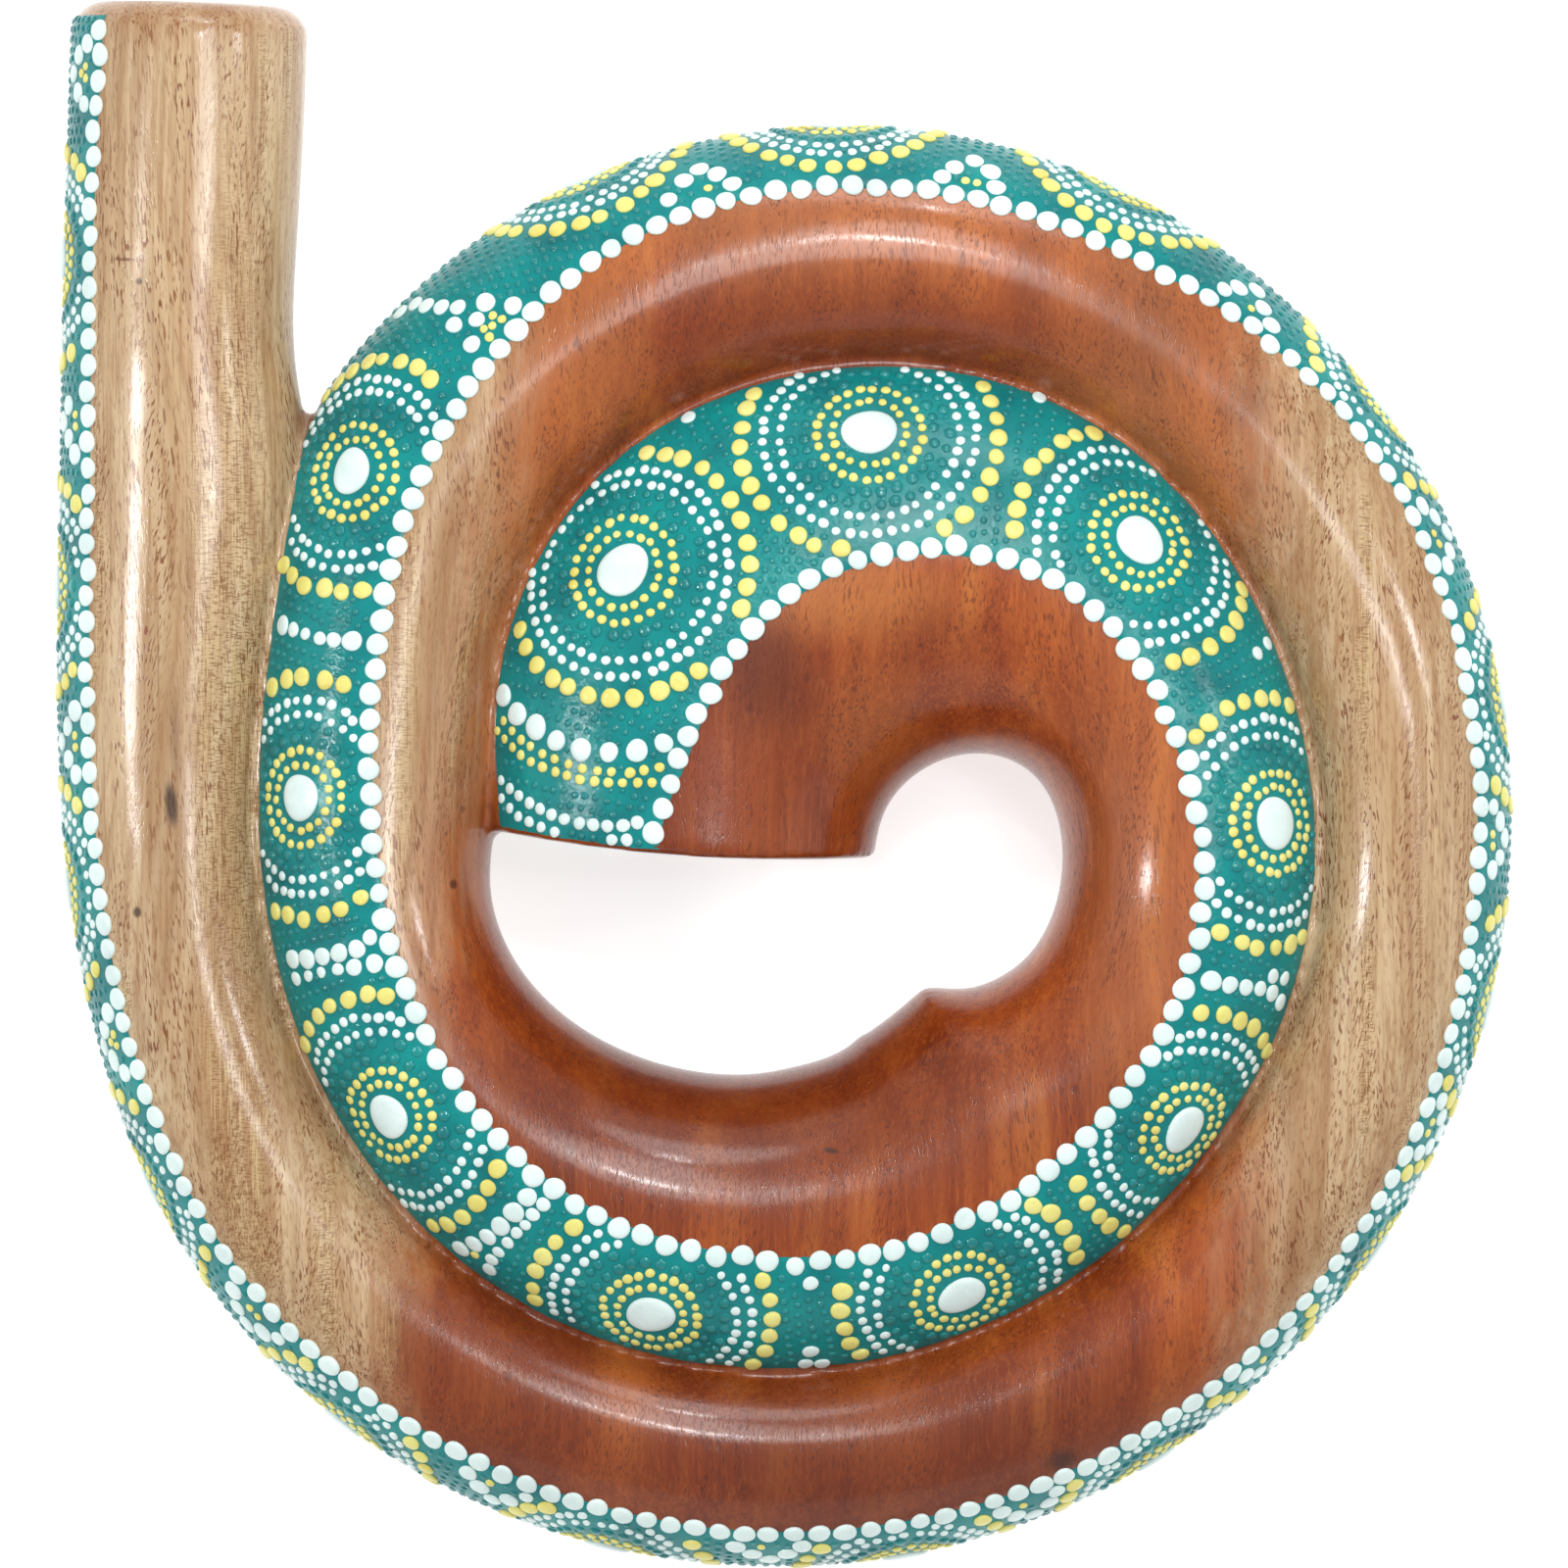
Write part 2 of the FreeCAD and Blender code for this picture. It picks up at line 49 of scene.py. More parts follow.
# one row per carving station along the tube:
# outer_x, outer_y, inner_x, inner_y, crest fraction, height, angle of the painted border from the outer edge
STATIONS = np.array([
    (-181.20, 199.56, -121.57, 197.56, 0.500, 29.81, 0.729),
    (-181.78, 183.04, -121.97, 180.85, 0.495, 30.00, 0.729),
    (-182.26, 168.06, -122.61, 165.82, 0.494, 29.81, 0.709),
    (-182.70, 153.09, -123.42, 150.93, 0.498, 29.56, 0.695),
    (-183.10, 138.08, -124.35, 136.11, 0.505, 29.31, 0.687),
    (-183.46, 123.00, -125.12, 121.34, 0.513, 29.19, 0.683),
    (-183.79, 107.83, -124.62, 106.58, 0.513, 29.38, 0.685),
    (-184.08, 92.56, -122.27, 91.74, 0.497, 29.20, 0.690),
    (-184.34, 77.31, -120.52, 76.84, 0.483, 29.20, 0.698),
    (-184.57, 62.13, -121.66, 61.85, 0.486, 29.20, 0.709),
    (-184.77, 46.98, -124.50, 46.73, 0.497, 29.20, 0.723),
    (-184.92, 31.99, -127.18, 31.68, 0.506, 29.20, 0.737),
    (-184.86, 17.12, -129.17, 16.79, 0.511, 29.20, 0.751),
    (-184.40, 2.24, -130.27, 2.15, 0.511, 29.20, 0.766),
    (-183.13, -15.68, -130.35, -14.28, 0.505, 29.50, 0.781),
    (-178.91, -46.86, -127.81, -37.91, 0.490, 29.50, 0.800),
    (-171.11, -78.00, -121.91, -60.12, 0.483, 29.50, 0.806),
    (-158.97, -107.36, -112.68, -80.93, 0.487, 29.50, 0.801),
    (-141.84, -134.07, -100.18, -99.78, 0.498, 29.50, 0.806),
    (-119.42, -157.18, -84.51, -116.05, 0.510, 29.50, 0.836),
    (-92.76, -175.77, -65.92, -129.18, 0.516, 29.50, 0.858),
    (-63.22, -189.06, -45.13, -138.82, 0.516, 29.50, 0.854),
    (-31.89, -196.90, -22.93, -144.67, 0.511, 29.50, 0.825),
    (0.23, -199.30, -0.15, -146.46, 0.505, 29.50, 0.806),
    (32.12, -196.25, 22.47, -144.03, 0.498, 29.50, 0.800),
    (62.78, -187.79, 44.30, -137.68, 0.495, 29.50, 0.781),
    (91.32, -174.06, 64.83, -127.82, 0.496, 29.50, 0.752),
    (117.13, -155.61, 83.54, -114.81, 0.498, 29.50, 0.724),
    (139.63, -133.09, 99.92, -99.03, 0.499, 29.50, 0.708),
    (158.21, -107.12, 113.43, -80.83, 0.498, 29.50, 0.719),
    (172.26, -78.31, 123.53, -60.53, 0.494, 29.50, 0.760),
    (181.22, -47.33, 129.72, -38.54, 0.492, 29.50, 0.799),
    (184.86, -15.13, 131.88, -15.60, 0.493, 29.50, 0.810),
    (183.07, 17.26, 129.97, 7.46, 0.498, 29.78, 0.799),
    (175.74, 48.83, 123.98, 29.83, 0.503, 30.06, 0.777),
    (162.76, 78.55, 113.96, 50.68, 0.508, 30.33, 0.770),
    (144.20, 105.38, 100.29, 69.14, 0.510, 30.61, 0.820),
    (120.82, 128.38, 83.48, 84.32, 0.509, 30.89, 0.922),
    (93.63, 146.67, 64.10, 95.38, 0.502, 31.17, 1.015),
    (63.68, 159.46, 42.90, 101.68, 0.492, 31.44, 1.047),
    (32.06, 166.11, 21.10, 103.31, 0.488, 31.72, 1.039),
    (-0.10, 166.31, -0.07, 100.60, 0.493, 32.00, 1.030),
    (-31.25, 160.41, -19.49, 93.90, 0.500, 32.64, 1.063),
    (-59.98, 148.98, -36.31, 83.73, 0.503, 33.28, 1.161),
    (-85.29, 132.56, -50.09, 70.94, 0.503, 33.91, 1.293),
    (-106.86, 111.74, -60.48, 56.49, 0.507, 34.55, 1.413),
    (-123.25, 87.40, -67.30, 41.22, 0.518, 35.17, 1.487),
    (-131.05, 60.42, -70.71, 25.47, 0.501, 35.76, 1.530),
    (-134.70, 33.92, -71.46, 10.73, 0.478, 36.34, 1.565),
    (-136.97, 8.67, -72.50, -2.78, 0.473, 36.92, 1.602),
    (-137.01, -15.89, -74.36, -15.35, 0.490, 37.50, 1.630),
    (-133.73, -39.79, -74.90, -27.16, 0.511, 37.93, 1.639),
    (-124.65, -69.02, -70.90, -41.31, 0.518, 38.40, 1.627),
    (-109.72, -96.62, -62.03, -53.98, 0.509, 38.87, 1.592),
    (-88.84, -120.63, -49.70, -63.87, 0.498, 39.33, 1.539),
    (-62.35, -138.89, -35.49, -70.53, 0.496, 39.65, 1.475),
    (-32.96, -149.41, -21.65, -73.85, 0.504, 39.87, 1.410),
    (-0.84, -152.94, -7.90, -74.37, 0.513, 40.00, 1.352),
    (31.48, -148.80, 5.42, -71.83, 0.510, 40.00, 1.310),
    (58.84, -138.59, 18.05, -65.91, 0.494, 40.00, 1.295),
    (86.05, -121.45, 35.43, -52.44, 0.467, 40.00, 1.317),
    (95.58, -112.78, 44.50, -52.64, 0.493, 40.00, 1.334),
    (107.17, -99.81, 53.81, -50.25, 0.511, 40.00, 1.363),
    (118.46, -83.70, 61.31, -45.03, 0.514, 40.00, 1.400),
    (128.78, -63.53, 66.94, -36.97, 0.506, 40.00, 1.447),
    (135.93, -40.68, 70.12, -27.37, 0.498, 40.00, 1.497),
    (138.44, -15.72, 70.94, -17.55, 0.497, 40.00, 1.542),
    (135.66, 10.08, 69.60, -8.71, 0.496, 40.00, 1.571),
    (127.22, 37.10, 66.31, -1.39, 0.494, 40.00, 1.578),
    (112.44, 64.55, 61.31, 3.72, 0.495, 40.00, 1.567),
    (91.26, 87.93, 55.26, 6.52, 0.502, 40.00, 1.550),
    (60.40, 104.65, 48.05, 7.29, 0.508, 40.00, 1.535),
    (24.25, 110.44, 40.75, 5.81, 0.509, 40.00, 1.535),
    (-9.25, 105.62, 34.62, 2.73, 0.507, 40.00, 1.557),
    (-39.01, 91.45, 29.58, -1.61, 0.505, 40.00, 1.590),
    (-59.52, 71.85, 26.34, -6.17, 0.502, 40.00, 1.614),
    (-72.67, 47.50, 24.39, -11.06, 0.499, 40.00, 1.617),
    (-78.29, 22.17, 23.34, -16.14, 0.494, 40.00, 1.584),
    (-78.22, -1.88, 22.76, -21.18, 0.485, 40.00, 1.508),
    (-77.71, -22.83, 22.37, -27.16, 0.490, 40.00, 1.478),
    (-77.82, -30.70, 22.18, -32.94, 0.500, 40.00, 1.478),])


# ------------------------------------------------------------------ the carved surface as a formula
class Natural:
    """Natural cubic curve through rows of Y at parameters x."""

    def __init__(self, x, Y):
        self.x, self.Y = x, Y
        n = len(x)
        h = np.diff(x)
        A = np.zeros((n, n))
        R = np.zeros((n,) + Y.shape[1:])
        A[0, 0] = A[-1, -1] = 1.0
        for i in range(1, n - 1):
            A[i, i - 1], A[i, i], A[i, i + 1] = h[i - 1], 2 * (h[i - 1] + h[i]), h[i]
            R[i] = 6 * ((Y[i + 1] - Y[i]) / h[i] - (Y[i] - Y[i - 1]) / h[i - 1])
        self.M = np.linalg.solve(A, R)

    def __call__(self, u):
        u = np.asarray(u, float)
        i = np.clip(np.searchsorted(self.x, u) - 1, 0, len(self.x) - 2)
        h = self.x[i + 1] - self.x[i]
        a, b = (self.x[i + 1] - u) / h, (u - self.x[i]) / h
        if self.Y.ndim == 2:
            a, b, h = a[..., None], b[..., None], h[..., None]
        return a * self.Y[i] + b * self.Y[i + 1] + ((a**3 - a) * self.M[i] + (b**3 - b) * self.M[i + 1]) * h * h / 6


OUT, INN = STATIONS[:, 0:2], STATIONS[:, 2:4]
CREST = OUT + (INN - OUT) * STATIONS[:, 4:5]
ALONG = np.r_[0.0, np.cumsum(np.hypot(*np.diff(CREST, axis=0).T))]
LAST = ALONG[-1]
f_out, f_inn, f_crest = Natural(ALONG, OUT), Natural(ALONG, INN), Natural(ALONG, CREST)
f_high, f_edge = Natural(ALONG, STATIONS[:, 5]), Natural(ALONG, STATIONS[:, 6])


def skin(u, t):
    """Points on the tube: u along it in mm, t the angle round from the outer edge, above 0 on the front and below 0 on the back."""
    u, t = np.broadcast_arrays(np.asarray(u, float), np.asarray(t, float))
    o, n, c, h = f_out(u), f_inn(u), f_crest(u), f_high(u)
    k = np.cos(t)
    w, v = np.maximum(k, 0)[..., None], np.maximum(-k, 0)[..., None]
    p = c + (o - c) * w + (n - c) * v
    z = np.maximum(MID + h * np.sin(t), 0.0)
    return np.concatenate([p, z[..., None]], axis=-1)


# ------------------------------------------------------------------ mesh helpers
def mesh_object(name, verts, faces, material, smooth=True, sharp=None):
    """A piece made from vertices in mm and lists of faces; it rides on the one body."""
    me = bpy.data.meshes.new(name)
    me.from_pydata((np.asarray(verts) * 0.001).tolist(), [], faces)
    me.validate()
    me.update()
    if smooth:
        me.polygons.foreach_set("use_smooth", np.ones(len(me.polygons), bool))
        if sharp:
            me.set_sharp_from_angle(angle=math.radians(sharp))
    ob = bpy.data.objects.new(name, me)
    bpy.context.scene.collection.objects.link(ob)
    me.materials.append(material)
    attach(ob, "root")
    return ob


def arrays(me):
    co = np.zeros(len(me.vertices) * 3)
    me.vertices.foreach_get("co", co)
    return co.reshape(-1, 3) * 1000.0


def smooth_mesh(co, edges, times, share=0.5):
    """Even out the vertices, as sanding does; sharp creases get a small radius."""
    count = np.zeros(len(co))
    np.add.at(count, edges[:, 0], 1)
    np.add.at(count, edges[:, 1], 1)
    for _ in range(times):
        total = np.zeros_like(co)
        for k in range(3):
            total[:, k] = np.bincount(edges[:, 0], co[edges[:, 1], k], len(co)) + np.bincount(edges[:, 1], co[edges[:, 0], k], len(co))
        co = co + share * (total / count[:, None] - co)
    return co


# ------------------------------------------------------------------ the sanded body
def grid_faces(n, m, start=0):
    i, j = np.meshgrid(np.arange(n - 1), np.arange(m - 1), indexing="ij")
    a = (i * m + j + start).ravel()
    return np.stack([a, a + 1, a + m + 1, a + m], axis=1)


def skin_tree():
    us = np.linspace(0, LAST, 1150)
    vs, fs = [], []
    for side in (1, -1):
        g = skin(us[:, None], side * np.linspace(0, math.pi, 88)[None, :])
        fs.append(grid_faces(len(us), 88, sum(len(v) for v in vs)))
        vs.append(g.reshape(-1, 3))
    return BVHTree.FromPolygons(np.concatenate(vs).tolist(), np.concatenate(fs).tolist())


def joined_halves():
    vs, fs, n = [], [], 0
    for name in ("front_half", "back_half"):
        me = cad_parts[name].data
        vs.append(arrays(me))
        me.calc_loop_triangles()
        tri = np.zeros(len(me.loop_triangles) * 3, np.int32)
        me.loop_triangles.foreach_get("vertices", tri)
        fs.append(tri.reshape(-1, 3) + n)
        n += len(vs[-1])
    me = bpy.data.meshes.new("blank")
    me.from_pydata((np.concatenate(vs) * 0.001).tolist(), [], np.concatenate(fs).tolist())
    ob = bpy.data.objects.new("blank", me)
    bpy.context.scene.collection.objects.link(ob)
    mod = ob.modifiers.new("remesh", "REMESH")
    mod.mode = "VOXEL"
    mod.voxel_size = 0.00145
    done = bpy.data.meshes.new_from_object(ob.evaluated_get(bpy.context.evaluated_depsgraph_get()))
    bpy.data.objects.remove(ob)
    bpy.data.meshes.remove(me)
    return done


body_mesh = joined_halves()
co = arrays(body_mesh)
edges = np.zeros(len(body_mesh.edges) * 2, np.int32)
body_mesh.edges.foreach_get("vertices", edges)
edges = edges.reshape(-1, 2)
co = smooth_mesh(co, edges, 2)
tree = skin_tree()
onskin = np.zeros(len(co))
for i, p in enumerate(co.tolist()):
    loc, nor, idx, dist = tree.find_nearest(p, 6.0)
    if loc is not None:
        if dist < 0.6:
            co[i] = loc
        onskin[i] = max(0.0, 1.0 - dist / 6.0)
co = smooth_mesh(co, edges, 3)
co[:, 2] = np.maximum(co[:, 2], 0.0)
body_mesh.vertices.foreach_set("co", (co * 0.001).ravel())
body_mesh.update()
polys = [tuple(p.vertices) for p in body_mesh.polygons]
body = BVHTree.FromPolygons(co.tolist(), polys)
print("body", len(co), len(polys))


def half(name, front, material):
    """The body cut at the glue line."""
    bm = bmesh.new()
    bm.from_mesh(body_mesh)
    got = bmesh.ops.bisect_plane(
        bm,
        geom=bm.verts[:] + bm.edges[:] + bm.faces[:],
        plane_co=(0, 0, MID * 0.001),
        plane_no=(0, 0, 1),
        clear_inner=front,
        clear_outer=not front,
        dist=1e-6,
    )
    cut = [e for e in bm.edges if e.is_boundary]
    bmesh.ops.triangle_fill(bm, use_beauty=True, use_dissolve=False, edges=cut)
    bmesh.ops.recalc_face_normals(bm, faces=bm.faces[:])
    me = bpy.data.meshes.new(name)
    bm.to_mesh(me)
    bm.free()
    me.polygons.foreach_set("use_smooth", np.ones(len(me.polygons), bool))
    me.set_sharp_from_angle(angle=math.radians(62))
    ob = bpy.data.objects.new(name, me)
    bpy.context.scene.collection.objects.link(ob)
    me.materials.append(material)
    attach(ob, "root")
    return ob


# ------------------------------------------------------------------ materials
def lin(r, g, b, a=1.0):
    c = [v / 255 for v in (r, g, b)]
    return tuple(v / 12.92 if v <= 0.04045 else ((v + 0.055) / 1.055) ** 2.4 for v in c) + (a,)


class Nodes:
    """Short calls for building a node material."""

    def __init__(self, name):
        self.mat = bpy.data.materials.new(name)
        self.mat.use_nodes = True
        self.t = self.mat.node_tree
        self.t.nodes.clear()
        self.out = self.t.nodes.new("ShaderNodeOutputMaterial")
        self.bsdf = self.t.nodes.new("ShaderNodeBsdfPrincipled")
        self.t.links.new(self.bsdf.outputs[0], self.out.inputs[0])

    def put(self, node, key, value):
        s = node.inputs[key]
        if isinstance(value, bpy.types.NodeSocket):
            self.t.links.new(value, s)
        else:
            s.default_value = value

    def math(self, op, a, b=0.0, c=0.0, clamp=False):
        n = self.t.nodes.new("ShaderNodeMath")
        n.operation, n.use_clamp = op, clamp
        for k, v in enumerate((a, b, c)):
            self.put(n, k, v)
        return n.outputs[0]

    def vec(self, op, a, b=(0, 0, 0)):
        n = self.t.nodes.new("ShaderNodeVectorMath")
        n.operation = op
        self.put(n, 0, a)
        self.put(n, 1, b)
        return n.outputs[0]

    def comb(self, x, y, z):
        n = self.t.nodes.new("ShaderNodeCombineXYZ")
        for k, v in enumerate((x, y, z)):
            self.put(n, k, v)
        return n.outputs[0]

    def sep(self, v):
        n = self.t.nodes.new("ShaderNodeSeparateXYZ")
        self.put(n, 0, v)
        return n.outputs

    def noise(self, v, scale=1.0, detail=2.0, rough=0.5, lac=2.0):
        n = self.t.nodes.new("ShaderNodeTexNoise")
        self.put(n, "Vector", v)
        n.inputs["Scale"].default_value = scale
        n.inputs["Detail"].default_value = detail
        n.inputs["Roughness"].default_value = rough
        n.inputs["Lacunarity"].default_value = lac
        return n.outputs[0]

    def voronoi(self, v, scale=1.0, feature="F1", out=0, rnd=1.0):
        n = self.t.nodes.new("ShaderNodeTexVoronoi")
        n.feature = feature
        self.put(n, "Vector", v)
        n.inputs["Scale"].default_value = scale
        n.inputs["Randomness"].default_value = rnd
        return n.outputs[out]

    def step(self, v, a, b, lo=0.0, hi=1.0):
        n = self.t.nodes.new("ShaderNodeMapRange")
        n.interpolation_type = "SMOOTHSTEP"
        for k, x in zip(("Value", "From Min", "From Max", "To Min", "To Max"), (v, a, b, lo, hi)):
            self.put(n, k, x)
        return n.outputs[0]

    def mix(self, f, a, b, kind="MIX"):
        n = self.t.nodes.new("ShaderNodeMix")
        n.data_type, n.blend_type = "RGBA", kind
        self.put(n, 0, f)
        self.put(n, 6, a)
        self.put(n, 7, b)
        return n.outputs[2]

    def ramp(self, f, stops):
        n = self.t.nodes.new("ShaderNodeValToRGB")
        e = n.color_ramp.elements
        while len(e) < len(stops):
            e.new(0.5)
        for k, (pos, col) in enumerate(stops):
            e[k].position, e[k].color = pos, col
        self.put(n, 0, f)
        return n.outputs[0]

    def bump(self, height, distance, strength=1.0, normal=None):
        n = self.t.nodes.new("ShaderNodeBump")
        n.inputs["Strength"].default_value = strength
        n.inputs["Distance"].default_value = distance
        self.put(n, "Height", height)
        if normal is not None:
            self.put(n, "Normal", normal)
        return n.outputs[0]

    def spot(self, p, x, y, wide, tall, soft=0.5, turn=0.0):
        """1 inside an oval standing over (x, y) in plan, falling to 0 outside it."""
        c, s = math.cos(turn), math.sin(turn)
        d = self.vec("SUBTRACT", p, (x, y, 0.0))
        px_, py_, pz_ = self.sep(d)
        a = self.math("ADD", self.math("MULTIPLY", px_, c / wide), self.math("MULTIPLY", py_, s / wide))
        b_ = self.math("ADD", self.math("MULTIPLY", px_, -s / tall), self.math("MULTIPLY", py_, c / tall))
        r = self.math("SQRT", self.math("ADD", self.math("MULTIPLY", a, a), self.math("MULTIPLY", b_, b_)))
        return self.step(r, 1.0 + soft, 1.0 - soft)

    def place(self):
        """The point in millimetres, in the object's own frame."""
        n = self.t.nodes.new("ShaderNodeTexCoord")
        return self.vec("MULTIPLY", n.outputs["Object"], (1000.0, 1000.0, 1000.0))


def wood(name, flip):
    """Lacquered hardwood, grain along the tube's stem: pale sapwood at both sides, red-brown heart between."""
    m = Nodes(name)
    p = m.place()
    q0 = p
    if flip:
        p = m.vec("ADD", p, (0.0, 61.0, 0.0))
    x, y, z = m.sep(p)
    # slow wander of the grain
    slow = m.noise(m.vec("MULTIPLY", p, (0.010, 0.0045, 0.014)), 1.0, 1.0)
    wander = m.math("MULTIPLY", m.math("SUBTRACT", slow, 0.5), 46.0)
    fine = m.noise(m.vec("MULTIPLY", p, (0.30, 0.010, 0.30)), 1.0, 2.0)
    xw = m.math("ADD", x, wander)
    edge = m.math("ADD", m.math("ADD", x, m.math("MULTIPLY", wander, 0.35)), m.math("MULTIPLY", m.math("SUBTRACT", fine, 0.5), 15.0))
    slant = m.math("ADD", edge, m.math("MULTIPLY", m.math("SUBTRACT", 75.0, y), 0.11))
    left = m.step(slant, -62.0, -92.0)
    right = m.step(edge, 104.0, 134.0)
    sap = m.math("MAXIMUM", left, right)
    # growth bands, long along the grain
    g = m.comb(xw, m.math("MULTIPLY", y, 0.045), m.math("MULTIPLY", z, 0.8))
    band = m.noise(g, 0.085, 3.0, 0.55)
    line = m.noise(g, 0.45, 3.0, 0.6)
    streak = m.noise(m.vec("MULTIPLY", p, (1.1, 0.035, 1.1)), 1.0, 3.0, 0.6)
    wide = m.noise(m.comb(xw, m.math("MULTIPLY", y, 0.03), z), 0.22, 2.0, 0.5)
    heart = m.ramp(band, [(0.22, lin(104, 36, 4)), (0.42, lin(138, 57, 12)), (0.58, lin(158, 74, 22)), (0.78, lin(184, 104, 42))])
    heart = m.mix(m.step(line, 0.40, 0.75, 0.0, 0.50), heart, lin(110, 38, 8))
    heart = m.mix(m.step(streak, 0.45, 0.75, 0.0, 0.45), heart, lin(188, 100, 40))
    cloud = m.noise(m.vec("MULTIPLY", p, (0.022, 0.012, 0.022)), 1.0, 2.0)
    heart = m.mix(m.step(cloud, 0.45, 0.72, 0.0, 0.35), heart, lin(96, 30, 4))
    # patches over the heart colour: painted shade by the groove under the crown, in the groove valley at the lower left
    # and on the slope down into the hole at the foot; a painted sheen as tan on the crown; the others darken it along
    # the foot and on the bell and turn it tan in places
    for cx, cy, w, t, k, col in (
        # painted sheen: tan on the crown
        (0.0, 152.0, 95.0, 24.0, 0.36, (192, 128, 80)),
        (96.0, 95.0, 30.0, 50.0, 0.35, (186, 126, 76)),
        (92.0, -25.0, 18.0, 60.0, 0.25, (186, 124, 78)),
        (-10.0, -5.0, 40.0, 45.0, 0.42, (104, 40, 12)),
        # painted shade on the slope down into the hole
        (-12.0, -80.0, 75.0, 26.0, 0.55, (84, 30, 8)),
        # painted shade by the groove under the crown
        (10.0, 112.0, 80.0, 14.0, 0.55, (112, 44, 12)),
        (30.0, -172.0, 95.0, 26.0, 0.55, (84, 28, 6)),
        # painted shade in the groove valley at the lower left
        (-72.0, -140.0, 26.0, 40.0, 0.30, (96, 36, 10)),
        (-70.0, 55.0, 12.0, 60.0, 0.35, (190, 120, 62)),
        (14.0, 47.0, 26.0, 9.0, 0.55, (186, 116, 60)),
        (22.0, 14.0, 12.0, 15.0, 0.35, (170, 98, 48)),
        (-6.0, 29.0, 11.0, 15.0, 0.50, (82, 30, 10)),
        (38.0, 36.0, 14.0, 10.0, 0.30, (104, 40, 12)),
        (-52.0, 112.0, 14.0, 26.0, 0.35, (184, 116, 62)),
        (22.0, -152.0, 16.0, 18.0, 0.30, (168, 88, 36)),
        (-40.0, -150.0, 7.0, 22.0, 0.40, (178, 98, 40)),
    ):
        heart = m.mix(m.math("MULTIPLY", m.spot(q0, cx, cy, w, t, 0.75), k), heart, lin(*col))
    pale = m.ramp(band, [(0.20, lin(152, 110, 72)), (0.45, lin(181, 150, 112)), (0.60, lin(195, 168, 131)), (0.80, lin(168, 128, 88))])
    pale = m.mix(m.step(line, 0.42, 0.70, 0.0, 0.48), pale, lin(138, 98, 60))
    pale = m.mix(m.step(wide, 0.46, 0.70, 0.0, 0.42), pale, lin(206, 186, 152))
    pale = m.mix(m.step(streak, 0.46, 0.70, 0.0, 0.70), pale, lin(152, 108, 68))
    pale = m.mix(m.step(cloud, 0.45, 0.72, 0.0, 0.30), pale, lin(164, 116, 68))
    col = m.mix(sap, heart, pale)
    # interlocked grain: the pores lean one way, then the other, in ribbons
    ribbon = m.noise(m.comb(m.math("ADD", xw, 40.0), m.math("MULTIPLY", y, 0.012), z), 0.11, 1.0)
    lean1 = m.comb(m.math("ADD", x, m.math("MULTIPLY", y, 0.10)), m.math("MULTIPLY", y, 0.145), z)
    lean2 = m.comb(m.math("ADD", x, m.math("MULTIPLY", y, -0.22)), m.math("MULTIPLY", y, 0.19), z)
    pore1 = m.noise(lean1, 1.9, 1.5, 0.5)
    pore2 = m.noise(lean2, 2.1, 1.5, 0.5)
    which = m.step(ribbon, 0.44, 0.56)
    pores = m.math("ADD", m.math("MULTIPLY", pore1, m.math("SUBTRACT", 1.0, which)), m.math("MULTIPLY", pore2, which))
    pore = m.step(pores, 0.535, 0.635)
    crowd = m.noise(m.vec("MULTIPLY", p, (0.16, 0.022, 0.16)), 1.0, 2.0, 0.5)
    crowd = m.step(crowd, 0.36, 0.64, 0.25, 1.15)
    amount = m.math("MULTIPLY", m.math("MULTIPLY", pore, crowd), m.math("ADD", 0.50, m.math("MULTIPLY", sap, 0.32)))
    col = m.mix(amount, col, m.mix(sap, lin(72, 22, 6), lin(118, 66, 32)))
    # ribbons of crossed grain: short level ticks over the upright ones
    ticks = m.noise(m.vec("MULTIPLY", p, (0.55, 2.3, 0.55)), 1.0, 1.0, 0.5)
    thread = m.noise(m.vec("MULTIPLY", p, (2.4, 0.05, 2.4)), 1.0, 1.0, 0.5)
    bar = m.math("MAXIMUM", m.spot(q0, -141.0, 25.0, 9.0, 125.0, 0.5), m.spot(q0, -98.0, 48.0, 4.5, 62.0, 0.6))
    bar = m.math("MAXIMUM", bar, m.math("MULTIPLY", m.step(ribbon, 0.58, 0.68), sap))
    col = m.mix(m.math("MULTIPLY", bar, m.step(ticks, 0.49, 0.62, 0.0, 0.75)), col, lin(128, 88, 46))
    col = m.mix(m.math("MULTIPLY", bar, m.step(thread, 0.50, 0.68, 0.0, 0.50)), col, lin(206, 182, 130))
